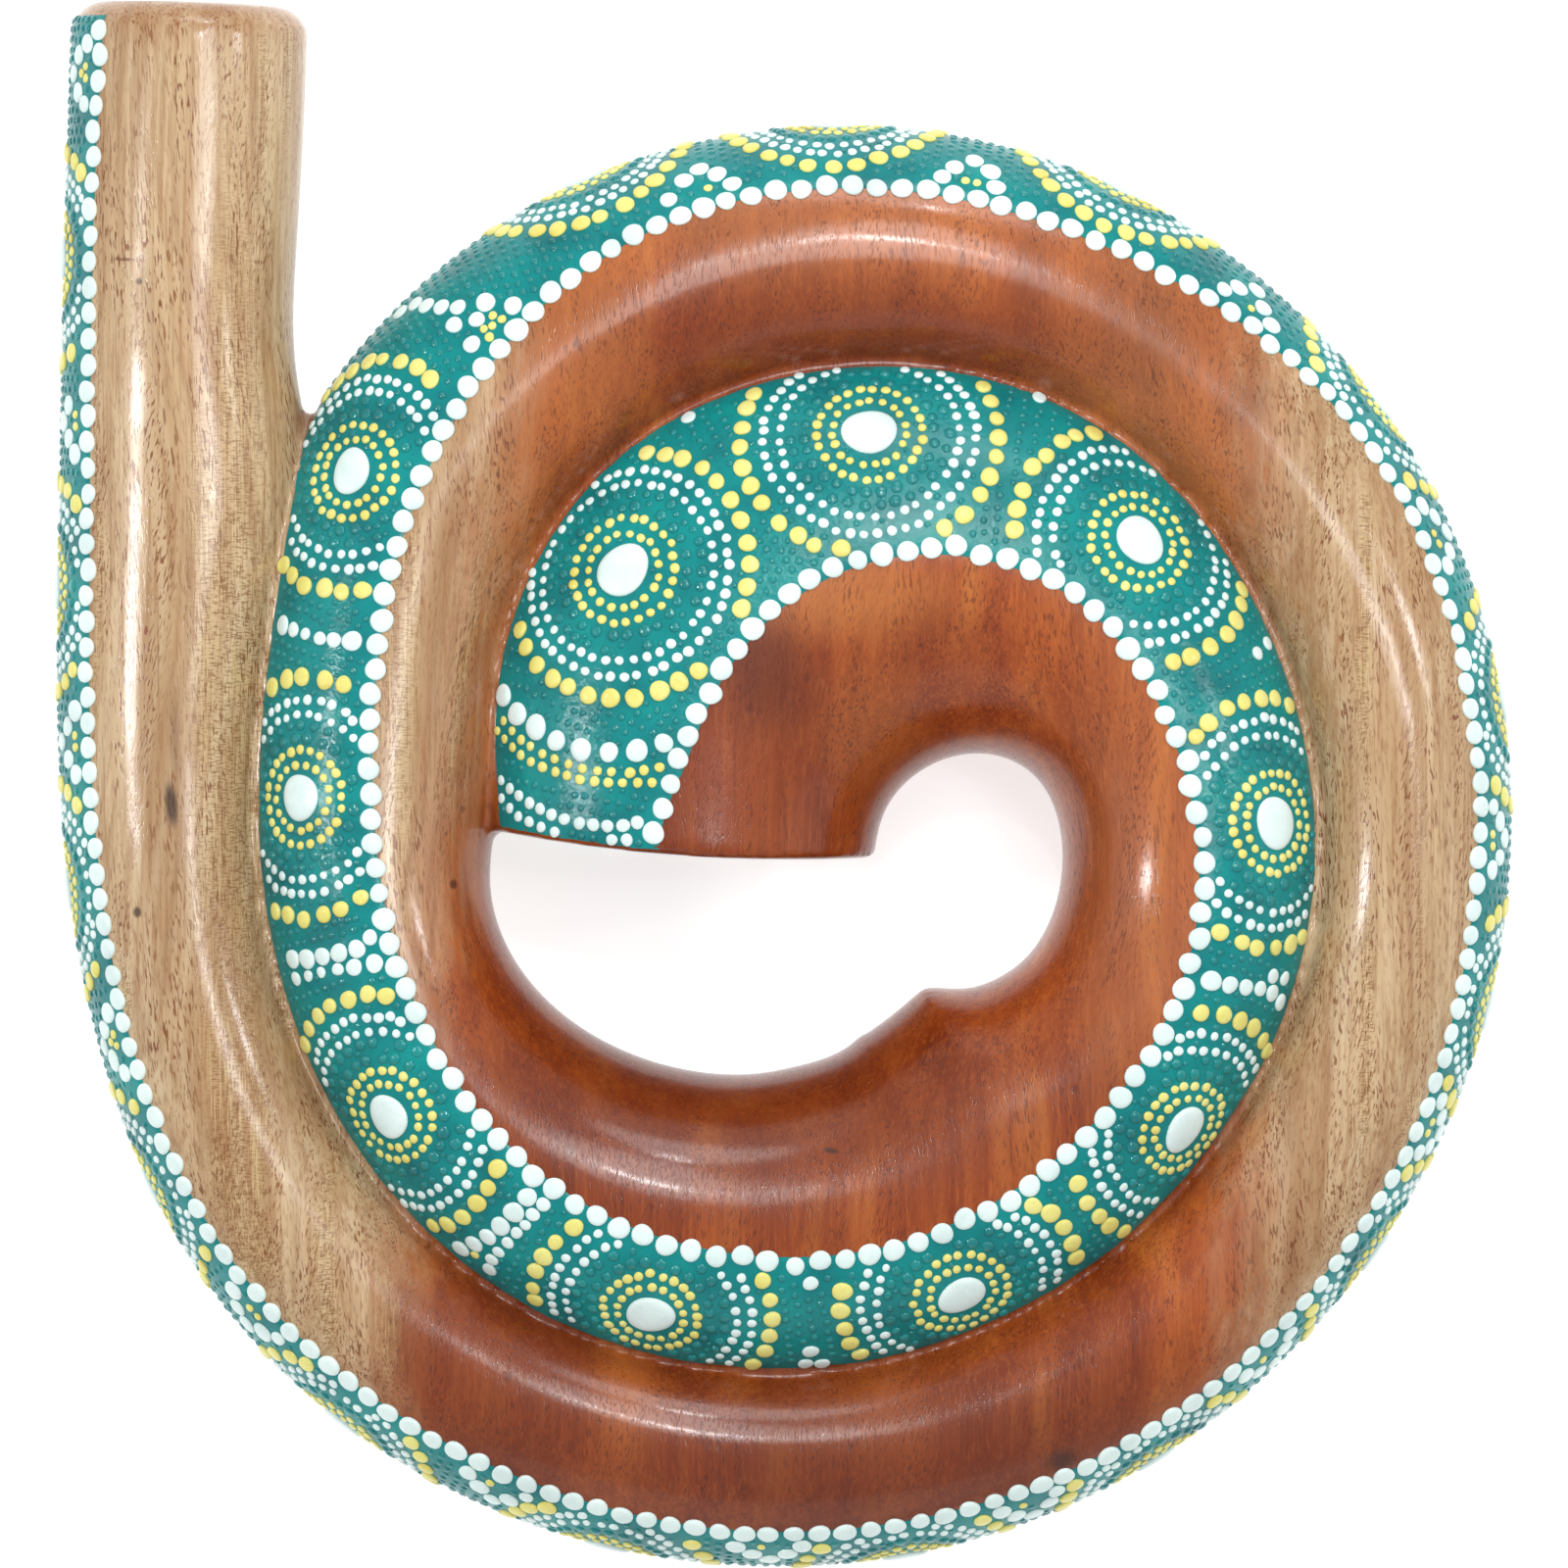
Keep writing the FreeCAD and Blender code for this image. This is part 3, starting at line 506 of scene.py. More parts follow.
    # small knots, pins and stains, and a browner strip along the top edge of the mouth end
    if not flip:
        for cx, cy, w, t, k, soft, turn, c in (
            (-118.5, 84.0, 5.0, 27.0, 0.55, 0.6, 0.12, (112, 58, 30)),
            (-150.0, 197.0, 34.0, 8.0, 0.35, 0.8, 0.0, (146, 92, 54)),
            (-158.0, 0.0, 6.0, 52.0, 0.32, 0.8, 0.05, (128, 86, 50)),
            (-134.0, -60.0, 7.0, 40.0, 0.30, 0.8, 0.35, (128, 84, 48)),
            (-155.6, -5.6, 1.5, 5.2, 0.85, 0.5, 0.10, (48, 26, 18)),
            (-154.6, 12.0, 1.2, 9.0, 0.40, 0.8, 0.0, (92, 56, 34)),
            (-164.3, -33.0, 1.0, 1.3, 0.85, 0.4, 0.0, (52, 28, 18)),
            (-163.8, 127.2, 0.7, 0.9, 0.85, 0.4, 0.0, (70, 40, 26)),
            (-167.6, 132.8, 2.5, 0.45, 0.75, 0.5, -0.05, (104, 56, 30)),
            (70.4, -172.2, 3.4, 2.4, 0.70, 0.7, 0.3, (40, 16, 8)),
            (11.9, -93.4, 1.9, 0.7, 0.75, 0.5, -0.2, (48, 30, 22)),
            (-84.0, -25.9, 0.9, 1.2, 0.80, 0.4, 0.0, (66, 32, 20)),
            (116.5, 95.6, 7.0, 5.0, 0.30, 0.8, 0.7, (96, 56, 40)),
            (-3.0, 28.0, 9.0, 14.0, 0.30, 0.8, 0.5, (74, 30, 12)),
        ):
            col = m.mix(m.math("MULTIPLY", m.spot(q0, cx, cy, w, t, soft, turn), k), col, lin(*c))
    spot = m.voronoi(m.vec("MULTIPLY", p, (0.020, 0.011, 0.020)), 1.0, "F1", 0)
    col = m.mix(m.step(spot, 0.045, 0.018, 0.0, 0.6), col, lin(60, 26, 14))
    m.put(m.bsdf, "Base Color", col)
    rough = m.math("ADD", 0.34, m.math("MULTIPLY", m.noise(p, 0.05, 2.0), 0.14))
    m.put(m.bsdf, "Roughness", m.math("ADD", rough, m.math("MULTIPLY", pore, 0.12)))
    # hand-carved unevenness under the lacquer, and pores telegraphing through it
    hand = m.noise(p, 0.030, 1.0, 0.45)
    nor = m.bump(hand, 0.0010, 0.5)
    nor = m.bump(m.math("SUBTRACT", m.math("MULTIPLY", streak, 0.5), pore), 0.00009, 0.5, nor)
    m.put(m.bsdf, "Normal", nor)
    b = m.bsdf.inputs
    b["IOR"].default_value = 1.5
    b["Coat Weight"].default_value = 0.70
    b["Specular IOR Level"].default_value = 0.15
    b["Coat Roughness"].default_value = 0.15
    b["Coat IOR"].default_value = 1.5
    ripple = m.bump(m.noise(m.vec("MULTIPLY", p, (0.5, 0.12, 0.5)), 1.0, 2.0), 0.00006, 0.5, m.bump(hand, 0.0010, 0.35))
    m.put(m.bsdf, "Coat Normal", m.bump(pore, -0.00003, 0.4, ripple))
    return m.mat


def paint(name, base, deep, light, rough, coat, gloss=0.06):
    """Thick acrylic paint under lacquer: brush-laid, a little uneven in colour and height."""
    m = Nodes(name)
    p = m.place()
    cloud = m.noise(p, 0.07, 3.0, 0.55)
    brush = m.noise(m.vec("MULTIPLY", p, (0.8, 0.8, 0.8)), 1.0, 3.0, 0.6)
    speck = m.noise(p, 2.6, 2.0, 0.6)
    col = m.ramp(cloud, [(0.25, lin(*deep)), (0.5, lin(*base)), (0.78, lin(*light))])
    col = m.mix(m.step(brush, 0.5, 0.75, 0.0, 0.35), col, lin(*deep))
    col = m.mix(m.step(speck, 0.62, 0.78, 0.0, 0.25), col, lin(*light))
    m.put(m.bsdf, "Base Color", col)
    m.put(m.bsdf, "Roughness", m.math("ADD", rough, m.math("MULTIPLY", brush, 0.12)))
    nor = m.bump(m.math("ADD", m.math("MULTIPLY", brush, 0.8), m.math("MULTIPLY", speck, 0.25)), 0.00020, 0.5)
    m.put(m.bsdf, "Normal", nor)
    lump = m.noise(p, 0.85, 2.0, 0.5)
    m.put(m.bsdf, "Coat Normal", m.bump(lump, 0.00016, 0.6, nor))
    b = m.bsdf.inputs
    b["IOR"].default_value = 1.48
    b["Coat Weight"].default_value = coat
    b["Specular IOR Level"].default_value = 0.1
    b["Coat Roughness"].default_value = gloss
    b["Coat IOR"].default_value = 1.5
    return m.mat


wood_front = wood("lacquered_hardwood_front", False)
wood_back = wood("lacquered_hardwood_back", True)
teal = paint("teal_paint", (1, 126, 126), (1, 102, 105), (4, 142, 138), 0.38, 0.44)
teal_drop = paint("teal_drop_paint", (1, 124, 124), (1, 102, 105), (4, 140, 136), 0.34, 0.95, 0.035)
white = paint("white_dot_paint", (217, 234, 231), (200, 218, 215), (228, 243, 239), 0.32, 0.35)
yellow = paint("yellow_dot_paint", (224, 217, 126), (210, 196, 96), (231, 226, 146), 0.32, 0.35)

front = half("front_half_carved", True, wood_front)
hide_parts("front_half")
back = half("back_half_carved", False, wood_back)
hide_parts("back_half")


# ------------------------------------------------------------------ the painted band
EYE = Vector((-0.07, -0.44, MID + 6000.0))


def seen(x, y):
    """The surface point that lies over (x, y) of the mid-plane, as the instrument is looked down on."""
    d = (Vector((x, y, MID)) - EYE).normalized()
    loc, nor, idx, dist = body.ray_cast(EYE, d)
    return np.array(loc), np.array(nor)


def low_edge(us):
    """Angle at which the neighbouring turn covers this one; 0 where the outer edge is free."""
    ts = np.radians(np.arange(0.5, 80, 1.25))
    got = []
    for u in us:
        g = skin(u, ts)
        t0 = 0.0
        for k in range(len(ts) - 1, -1, -1):
            x, y, z = g[k]
            loc, nor, idx, dist = body.ray_cast((x, y, 200.0), (0, 0, -1))
            if loc is None or loc[2] - z > 0.8:
                t0 = ts[k]
                break
        got.append(t0)
    return np.array(got)


u_scan = np.arange(1000.0, LAST, 3.0)
t_scan = low_edge(u_scan)
t_scan[u_scan > LAST - 24] = t_scan[u_scan <= LAST - 24][-1]  # the bell's own end
free = t_scan < 0.03
NOTCH = float(u_scan[np.argmax(~free)]) - 1.5  # where the coil meets the stem
pad = np.pad(t_scan, 3, mode="edge")
t_soft = np.convolve(pad, np.ones(7) / 7, "valid")
t_soft = np.where(u_scan < NOTCH + 12, t_scan, t_soft)
print("notch", NOTCH, np.degrees(t_scan[::12]).round(0))


def low_at(u):
    t = np.interp(u, u_scan, t_soft)
    return np.where(t > 0.16, t + 0.9 / 31, np.interp(t, [0.06, 0.16], [-0.03, 0.16 + 0.9 / 31]))


def normals_of(g):
    du, dv = np.gradient(g, axis=0), np.gradient(g, axis=1)
    n = np.cross(du, dv)
    return n / np.maximum(np.linalg.norm(n, axis=2, keepdims=True), 1e-9)


def snapped(g):
    flat = g.reshape(-1, 3)
    out, off = flat.copy(), np.zeros(len(flat))
    for i, p in enumerate(flat.tolist()):
        loc, nor, idx, dist = body.find_nearest(p, 8.0)
        if loc is not None:
            out[i], off[i] = loc, dist
    return out.reshape(g.shape), off.reshape(g.shape[:2])


band_pts, band_info = [], []  # surface points of the band: u, side, mm from the groove or lower border, mm from the border


def coat(name, us, lo, hi, cols, side):
    """A closed sheet of paint. us is one row of u per column count; lo and hi give the angles."""
    v = np.linspace(0, 1, cols)
    t = lo(us) * (1 - v) + hi(us) * v
    g, off = snapped(skin(us, t))
    n = normals_of(g)
    if np.median(np.sum(n * (g - (np.concatenate([f_crest(us), np.full(us.shape + (1,), MID)], axis=-1))), axis=2)) < 0:
        n = -n
    w = np.zeros(g.shape[:2])
    w[:, 1:] = np.cumsum(np.linalg.norm(np.diff(g, axis=1), axis=2), axis=1)
    tot = w[:, -1:]
    run = np.zeros(g.shape[:2])
    run[1:] = np.cumsum(np.linalg.norm(np.diff(g, axis=0), axis=2), axis=0)
    rest = run if side == 0 else run[-1:] - run  # mm from the open end of the sheet
    for i in range(g.shape[0]):
        for j in range(cols):
            if off[i, j] < 1.5:
                band_pts.append(g[i, j])
                open_side = 10.0 if side and side * t[i, 0] <= 0 else 0.0
                band_info.append((us[i, j], np.sign(t[i, j]) or 1.0, w[i, j] + open_side, tot[i, 0] - w[i, j], rest[i, j]))
    rough = 0.03 * np.sin(us * 0.9 + 3 * v) * np.sin(w * 1.1) + 0.02 * np.sin(us * 0.37 + w * 0.5)
    h = 0.34 + rough
    rim = np.minimum(w, tot - w)
    h = h * np.clip(rim / 1.0, 0.25, 1.0)
    h[0], h[-1] = 0.12, 0.12
    top, bot = g + n * h[..., None], g - n * 0.30
    N, M = g.shape[:2]
    f = grid_faces(N, M)
    fb = grid_faces(N, M, N * M)[:, ::-1]
    ring = [(i, 0) for i in range(N)] + [(N - 1, j) for j in range(1, M)] + [(i, M - 1) for i in range(N - 2, -1, -1)] + [(0, j) for j in range(M - 2, 0, -1)]
    ids = [i * M + j for i, j in ring]
    walls = [(a, b, b + N * M, a + N * M) for a, b in zip(ids, ids[1:] + ids[:1])]
    # outward faces, whichever way the grid runs
    k = np.cross(g[1, 0] - g[0, 0], g[0, 1] - g[0, 0]) @ n[0, 0]
    faces = f.tolist() + fb.tolist() + [tuple(x) for x in walls]
    if k > 0:
        faces = [tuple(reversed(x)) for x in faces]
    ob = mesh_object(name, np.concatenate([top.reshape(-1, 3), bot.reshape(-1, 3)]), faces, teal, sharp=55)
    return g, us, t


def edge_at(u):
    return f_edge(u) + 0.9 / 31


us = np.repeat(np.arange(3.5, NOTCH + 3.0, 2.0)[:, None], 46, axis=1)
coat("teal_band_outer_rim", us, lambda u: -edge_at(u), edge_at, 46, 0)

COLS = 38
for side, name in ((1, "teal_band_inner_turn_front"), (-1, "teal_band_inner_turn_back")):
    v = np.linspace(0, 1, COLS)
    ends = []
    for k in v:
        last = 1640.0
        for u in np.arange(1640.0, LAST, 0.4):
            t = low_at(u) * (1 - k) + edge_at(u) * k
            p = skin(u, side * t)
            loc, nor, idx, dist = body.ray_cast((p[0], p[1], MID + side * 160.0), (0, 0, -side))
            if loc is None or side * (loc[2] - p[2]) < -3.0:
                break
            last = u
        ends.append(last - 0.5)
    print(name, np.round(ends, 1))
    ends = np.array(ends)
    ends = np.convolve(np.pad(ends, 2, mode="edge"), np.ones(5) / 5, "valid")
    rows_n = 370
    f = np.linspace(0, 1, rows_n)[:, None]
    us = (NOTCH - 0.5) + (ends[None, :] - NOTCH + 0.5) * f
    coat(name, us, lambda u, s=side: s * low_at(u), lambda u, s=side: s * edge_at(u), COLS, side)
    if side == 1:
        BAND_END = float(ends[-1])
print("band points", len(band_pts), "end", BAND_END)

band_pts = np.array(band_pts)
band_info = np.array(band_info)
band = KDTree(len(band_pts))
for i, p in enumerate(band_pts.tolist()):
    band.insert(p, i)
band.balance()


# ------------------------------------------------------------------ raised dots
class Dots:
    """Placed dots by kind, with a coarse grid for finding neighbours."""

    def __init__(self):
        self.cells, self.kinds = {}, {}

    def near(self, p, r, share):
        c = tuple(np.floor(p / 8.0).astype(int))
        for i in (-1, 0, 1):
            for j in (-1, 0, 1):
                for k in (-1, 0, 1):
                    for q, s in self.cells.get((c[0] + i, c[1] + j, c[2] + k), ()):
                        if (q[0] - p[0]) ** 2 + (q[1] - p[1]) ** 2 + (q[2] - p[2]) ** 2 < (share * (r + s)) ** 2:
                            return True
        return False

    def around(self, p):
        c = tuple(np.floor(p / 8.0).astype(int))
        return [x for i in (-1, 0, 1) for j in (-1, 0, 1) for k in (-1, 0, 1) for x in self.cells.get((c[0] + i, c[1] + j, c[2] + k), ())]

    def room(self, p):
        """The radius a dot at p can have before it meets a neighbour."""
        return min([math.dist(q, p) - s for q, s in self.around(p)], default=9.0)

    def add(self, kind, p, n, e, a, b, h):
        self.kinds.setdefault(kind, []).append((p, n, e, a, b, h))
        c = tuple(np.floor(p / 8.0).astype(int))
        self.cells.setdefault(c, []).append((tuple(p), max(a, b)))


dots = Dots()


def unit(v):
    return v / max(np.linalg.norm(v), 1e-12)


def at(p):
    """Nearest surface point and normal."""
    loc, nor, idx, dist = body.find_nearest(p.tolist())
    return np.array(loc), np.array(nor)


def where(p):
    """Band position of a surface point, or None off the band."""
    q, i, d = band.find(p.tolist())
    return None if d > 1.6 else band_info[i]


def tangent(u, t):
    return unit(skin(u + 0.5, t) - skin(u - 0.5, t))


def walk(p, n, d, length):
    d = unit(d - n * (d @ n))
    steps = max(1, int(math.ceil(length / 2.6)))
    for _ in range(steps):
        p, n = at(p + d * (length / steps))
        d = unit(d - n * (d @ n))
    return p, n, d


def dot(kind, p, n, along, r, h, lo=0.0, hi=0.0, u0=None, reach=60.0, share=0.62, squash=1.0):
    """Adds one dot if it lies inside the band and doesn't run into another."""
    w = where(p)
    if w is None or w[2] < lo or w[3] < hi or w[4] < 0.8 * r:
        return False
    if u0 is not None and abs(w[0] - u0) > reach:
        return False
    if dots.near(p, r, share):
        return False
    e = unit(along - n * (along @ n))
    k = rng.uniform(0.94, 1.07)
    dots.add(kind, p, n, e, r * k * squash, r * k * rng.uniform(0.93, 1.05) / squash, h * rng.uniform(0.9, 1.1))
    return True


# the white line of large dots along both borders
u_line = np.arange(5.0, BAND_END + 4.0, 0.5)
for side in (1, -1):
    line = skin(u_line, side * f_edge(u_line))
    s = np.r_[0, np.cumsum(np.linalg.norm(np.diff(line, axis=0), axis=1))]
    goal = 3.0 if side == 1 else 5.0
    while goal < s[-1] - 1.0:
        u = float(np.interp(goal, s, u_line))
        t = side * float(f_edge(u)) + rng.normal(0, 0.012)
        p, n = at(skin(u, t))
        w = where(p)
        r = rng.normal(2.78, 0.13)
        if w is not None and w[4] > 1.6:
            dots.add("white_border_dots", p, n, tangent(u, t), r * rng.uniform(0.97, 1.05), r * rng.uniform(0.95, 1.03), 0.95)
        goal += max(5.7, rng.normal(6.45, 0.22))


def medallion(p, n, e1, u0, sizes, oval, oval_turn, counts, rim=False, full=False):
    """A white oval with rings and arcs of dots about it. sizes: ring and arc distances from the centre along the surface."""
    e1 = unit(e1 - n * (e1 @ n))
    e2 = np.cross(n, e1)
    c, s_ = math.cos(oval_turn), math.sin(oval_turn)
    ax = e1 * c + e2 * s_
    dots.add("white_medallion_ovals", p, n, ax, oval[0], oval[1], 1.15)
    r1, r2, r3, r4, r5 = sizes

    def ring(radius, number, kind, r, h, lo, hi, share, wobble, phase=0.0, stretch=0.0):
        for k in range(number):
            a = 2 * math.pi * (k + rng.uniform(-0.12, 0.12)) / number + phase
            rad = radius * (1 + stretch * (1 - 2 * abs((a / math.pi) % 1 - 0.5))) + rng.normal(0, wobble)
            d = e1 * math.cos(a) + e2 * math.sin(a)
            q, m, dd = walk(p, n, d, rad)
            dot(kind, q, m, np.cross(m, dd), r * rng.uniform(0.9, 1.1), h, lo, hi, u0, 56.0, share)

    lo = 0.3 if not rim else 1.5
    ring(r1, counts[0], "yellow_small_dots", 1.12, 0.55, lo, 3.0, 0.55, 0.16)
    ring(r2, counts[1], "yellow_small_dots", 1.22, 0.60, lo, 3.0, 0.55, 0.20)
    pitch = 3.55
    ring(r3, int(2 * math.pi * r3 / pitch), "white_small_dots", 1.18, 0.55, lo + 0.9, 3.6, 0.62, 0.18)
    ring(r4, int(2 * math.pi * r4 / pitch), "white_small_dots", 1.28, 0.58, lo + 0.9, 3.4, 0.62, 0.18)
    ring(r5, int(2 * math.pi * r5 / 5.9), "yellow_arc_dots", 2.35, 0.90, lo + 1.4, 4.3, 0.66, 0.22)
def blobs(p, n, e1, u0, radii, pitch, r):
    """Low teal drops in rings about a medallion."""
    e1 = unit(e1 - n * (e1 @ n))
    e2 = np.cross(n, e1)
    for radius in radii:
        count = int(2 * math.pi * radius / pitch)
        for k in range(count):
            a = 2 * math.pi * (k + rng.uniform(-0.15, 0.15)) / count
            q, m, dd = walk(p, n, e1 * math.cos(a) + e2 * math.sin(a), radius + rng.normal(0, 0.2))
            w = where(q)
            if w is None or w[2] < 1.6 or w[3] < 3.8 or w[4] < 2.0 or abs(w[0] - u0) > 50 or dots.room(q) < 0.7 * r:
                continue
            s = min(r * rng.uniform(0.85, 1.1), dots.room(q) / 1.03)
            dots.add("teal_relief_%d" % min(3, int(made_share(w[0]) * 4)), q, m, e1, s, s, rng.uniform(0.6, 0.8))


def made_share(u):
    return 0.999 * u / LAST


# medallions of the inner turn: plan place, ring distances, oval half sizes, turn of the oval
INNER = [
    ((-110.3, 79.3), (8.6, 12.3, 21.6, 25.4, 31.0), (6.0, 5.3), 0.0, (18, 24)),
    ((-123.3, -3.9), (8.4, 12.0, 21.0, 24.8, 30.5), (6.1, 5.3), 0.0, (17, 24)),
    ((-100.8, -85.2), (8.6, 12.2, 22.2, 26.2, 31.5), (6.0, 5.4), 0.0, (18, 24)),
    ((-34.1, -135.7), (8.6, 12.2, 22.0, 26.0, 31.0), (6.3, 5.6), 0.0, (18, 25)),
    ((45.2, -130.7), (8.6, 12.2, 22.0, 26.0, 31.0), (6.2, 5.4), 0.0, (18, 24)),
    ((101.9, -88.4), (8.6, 12.0, 21.6, 25.6, 31.0), (6.4, 5.4), 0.0, (18, 24)),
    ((125.2, -10.4), (9.0, 12.8, 22.5, 26.6, 32.0), (7.0, 6.0), 0.0, (19, 26)),
    ((90.7, 61.7), (9.2, 13.0, 22.6, 26.8, 32.5), (6.6, 6.2), 0.0, (19, 25)),
    ((21.7, 89.3), (9.5, 13.4, 23.0, 27.2, 33.0), (6.9, 6.4), 0.0, (19, 26)),
    ((-41.1, 54.1), (9.7, 13.8, 23.5, 27.5, 32.8), (7.1, 6.6), 0.0, (19, 26)),
]
MIRROR = np.array([1.0, 1.0, -1.0])
inner_u = []
later = []
for place, sizes, oval, turn, counts in INNER:
    p, n = seen(*place)
    w = where(p)
    inner_u.append(w[0])
    t = math.atan2((p[2] - MID) / float(f_high(w[0])), 1e-6)
    for side in (1, -1):
        if side == -1:
            q, m = at(np.array([p[0], p[1], 2 * MID - p[2]]))
        else:
            q, m = p, n
        e1 = tangent(w[0], side * 0.9)
        medallion(q, m, e1, w[0], sizes, oval, turn + rng.uniform(-0.2, 0.2), counts)
        later.append((q, m, e1, w[0], (sizes[1] + 3.2, sizes[2] - 2.7), 4.0, 1.8))
print("medallions at", np.round(inner_u, 1))

# medallions centred on the outer edge of the stem and the first turn
RIM = [(-182.6, 133.3), (-184.8, 49.6), (-180.1, -26.7), (-160.1, -102.9), (-111.3, -161.7), (-45.1, -194.2), (31.2, -198.4), (93.7, -170.4), (149.9, -119.2), (178.7, -57.9), (181.2, 20.8), (149.9, 95.8), (84.9, 148.3), (12.4, 165.8), (-58.8, 144.6)]
u_fine = np.arange(0, NOTCH, 0.5)
outer_fine = skin(u_fine, 0.0)
for place in RIM:
    u = float(u_fine[np.argmin(np.hypot(outer_fine[:, 0] - place[0], outer_fine[:, 1] - place[1]))])
    p, n = at(skin(u, 0.0))
    medallion(p, n, tangent(u, 0.0), u, (8.0, 11.4, 18.8, 22.2, 27.0), (5.9, 5.2), rng.uniform(-0.2, 0.2), (16, 22), rim=True)
    later.append((p, n, tangent(u, 0.0), u, (15.0,), 3.9, 1.7))

# arches of large white dots standing on the border between the rim medallions
ARCHES = [(-177.6, 180.8), (-178.8, 92.1), (-178.1, 10.3), (-170.6, -65.9), (-135.6, -135.9), (-73.1, -178.7), (-4.3, -195.4), (62.4, -183.4), (122.9, -145.9), (164.2, -87.9), (179.9, -14.9), (166.2, 62.1), (117.4, 121.6), (47.4, 153.8), (-22.1, 152.1), (-76.3, 117.1)]
edge_fine = skin(u_line, f_edge(u_line))
for place in ARCHES:
    u = float(u_line[np.argmin(np.hypot(edge_fine[:, 0] - place[0], edge_fine[:, 1] - place[1]) + np.where(u_line > 1085, 1e3, 0))])
    for side in (1, -1):
        p, n = at(skin(u, side * f_edge(u)))
        e1 = tangent(u, side * float(f_edge(u)))
        up = skin(u, side * (f_edge(u) - 0.05)) - p  # towards the outer edge
        up = unit(up - n * (up @ n))
        for a, b in ((-7.6, 4.6), (-4.4, 9.2), (0.2, 12.6), (4.6, 9.0), (7.8, 4.4)):
            a, b = a + rng.normal(0, 0.35), b + rng.normal(0, 0.35)
            d = unit(e1 * a + up * b)
            q, m, dd = walk(p, n, d, math.hypot(a, b))
            dot("white_large_dots", q, m, e1, rng.uniform(2.25, 2.75), 0.85, 2.0, 0.0, share=0.52)
        for a, b in ((-1.6, 5.2), (1.4, 5.0), (0.1, 7.4))[: int(rng.integers(1, 4))]:
            d = unit(e1 * a + up * b)
            q, m, dd = walk(p, n, d, math.hypot(a, b))
            dot("yellow_small_dots", q, m, e1, 1.15, 0.55, 2.0, 0.0, share=0.75)


def trail(points, kind, radii, pitch, h, both=True, lo=0.0, hi=0.0, jit=0.18, share=0.6):
    """Dots along a line drawn in plan, in mm; radii runs evenly from one end to the other."""
    pts = []
    for x, y in points:
        p, n = seen(x, y)
        pts.append(p)
    pts = np.array(pts)
    s = np.r_[0, np.cumsum(np.linalg.norm(np.diff(pts, axis=0), axis=1))]
    count = max(1, int(round(s[-1] / pitch)))
    for side in (1, -1) if both else (1,):
        for k in range(count + 1):
            g = s[-1] * k / count + rng.normal(0, jit)
            q = np.array([np.interp(g, s, pts[:, i]) for i in range(3)])
            if side == -1:
                q[2] = 2 * MID - q[2]
            q, n = at(q)
            w = where(q)
            if w is None:
                continue
            r = float(np.interp(k / max(count, 1), np.linspace(0, 1, len(radii)), radii)) * rng.uniform(0.94, 1.06)
            dot(kind, q, n, tangent(w[0], w[1] * 1.0), r, h, lo, hi, share=share)


def spots(points, kind, r, h, share=0.6):
    for pt in points:
        trail([pt, pt], kind, [r], 1e6, h, share=share, jit=0.05)


BIGW, SMW, SMY, ARCY = "white_large_dots", "white_small_dots", "yellow_small_dots", "yellow_arc_dots"
# the arch before the first inner medallion runs on as a row to the outer edge
trail([(-67.6, 123.2), (-74.0, 121.8), (-79.8, 120.9), (-85.1, 120.9), (-90.1, 120.9), (-93.3, 122.1), (-97.6, 119.6)], BIGW, [2.5, 2.35], 5.6, 0.85, lo=1.0, hi=2.0)
spots([(-84.1, 116.5), (-80.8, 112.0)], BIGW, 2.45, 0.85)
spots([(-77.8, 118.4), (-76.5, 116.2), (-73.7, 117.5), (-69.3, 118.6), (-75.1, 113.4)], SMY, 1.2, 0.5)
# between the first and second medallions
trail([(-127.6, 40.0), (-122.5, 38.0), (-117.5, 36.4), (-110.3, 36.0)], BIGW, [2.5, 1.7, 1.6, 1.9, 2.6], 4.9, 0.7)
# between the second and third, two rows
trail([(-125.0, -45.0), (-120.7, -45.0), (-116.0, -44.0), (-110.8, -43.0), (-105.4, -41.4)], BIGW, [2.6, 2.35, 2.45], 5.4, 0.85)
trail([(-124.2, -50.0), (-118.3, -48.5), (-110.3, -46.7), (-104.5, -46.2)], BIGW, [1.8, 1.6, 1.7, 2.5], 4.6, 0.65)
# between the third and fourth, two rows
trail([(-65.0, -104.0), (-68.6, -109.4), (-72.1, -112.9), (-75.5, -115.8), (-78.6, -117.4), (-82.3, -118.7)], BIGW, [2.5, 2.4, 2.4], 5.6, 0.85)
trail([(-60.5, -106.0), (-63.5, -108.5), (-67.0, -112.8), (-69.3, -115.8), (-71.6, -118.8), (-74.2, -120.6), (-75.0, -124.0)], BIGW, [1.9, 1.6, 1.7, 2.1], 4.3, 0.65)
spots([(-78.7, -120.3)], SMY, 1.4, 0.5)
# between the fourth and fifth, a few by the border and by the groove
spots([(6.7, -127.7), (6.7, -144.9), (5.4, -147.9), (9.4, -147.9)], BIGW, 2.0, 0.7)
# between the sixth and seventh
trail([(108.7, -50.6), (113.3, -51.6), (117.2, -52.2), (120.9, -52.5), (123.9, -53.4), (126.1, -56.0)], BIGW, [2.5, 2.2, 2.2], 5.0, 0.8)
spots([(124.4, -49.7), (127.3, -50.0)], BIGW, 1.9, 0.65)
# single dots at the groove
spots([(120.4, 32.8), (122.9, 35.3), (-24.3, 92.8), (64.9, 97.8), (69.0, 99.5)], BIGW, 1.9, 0.7)
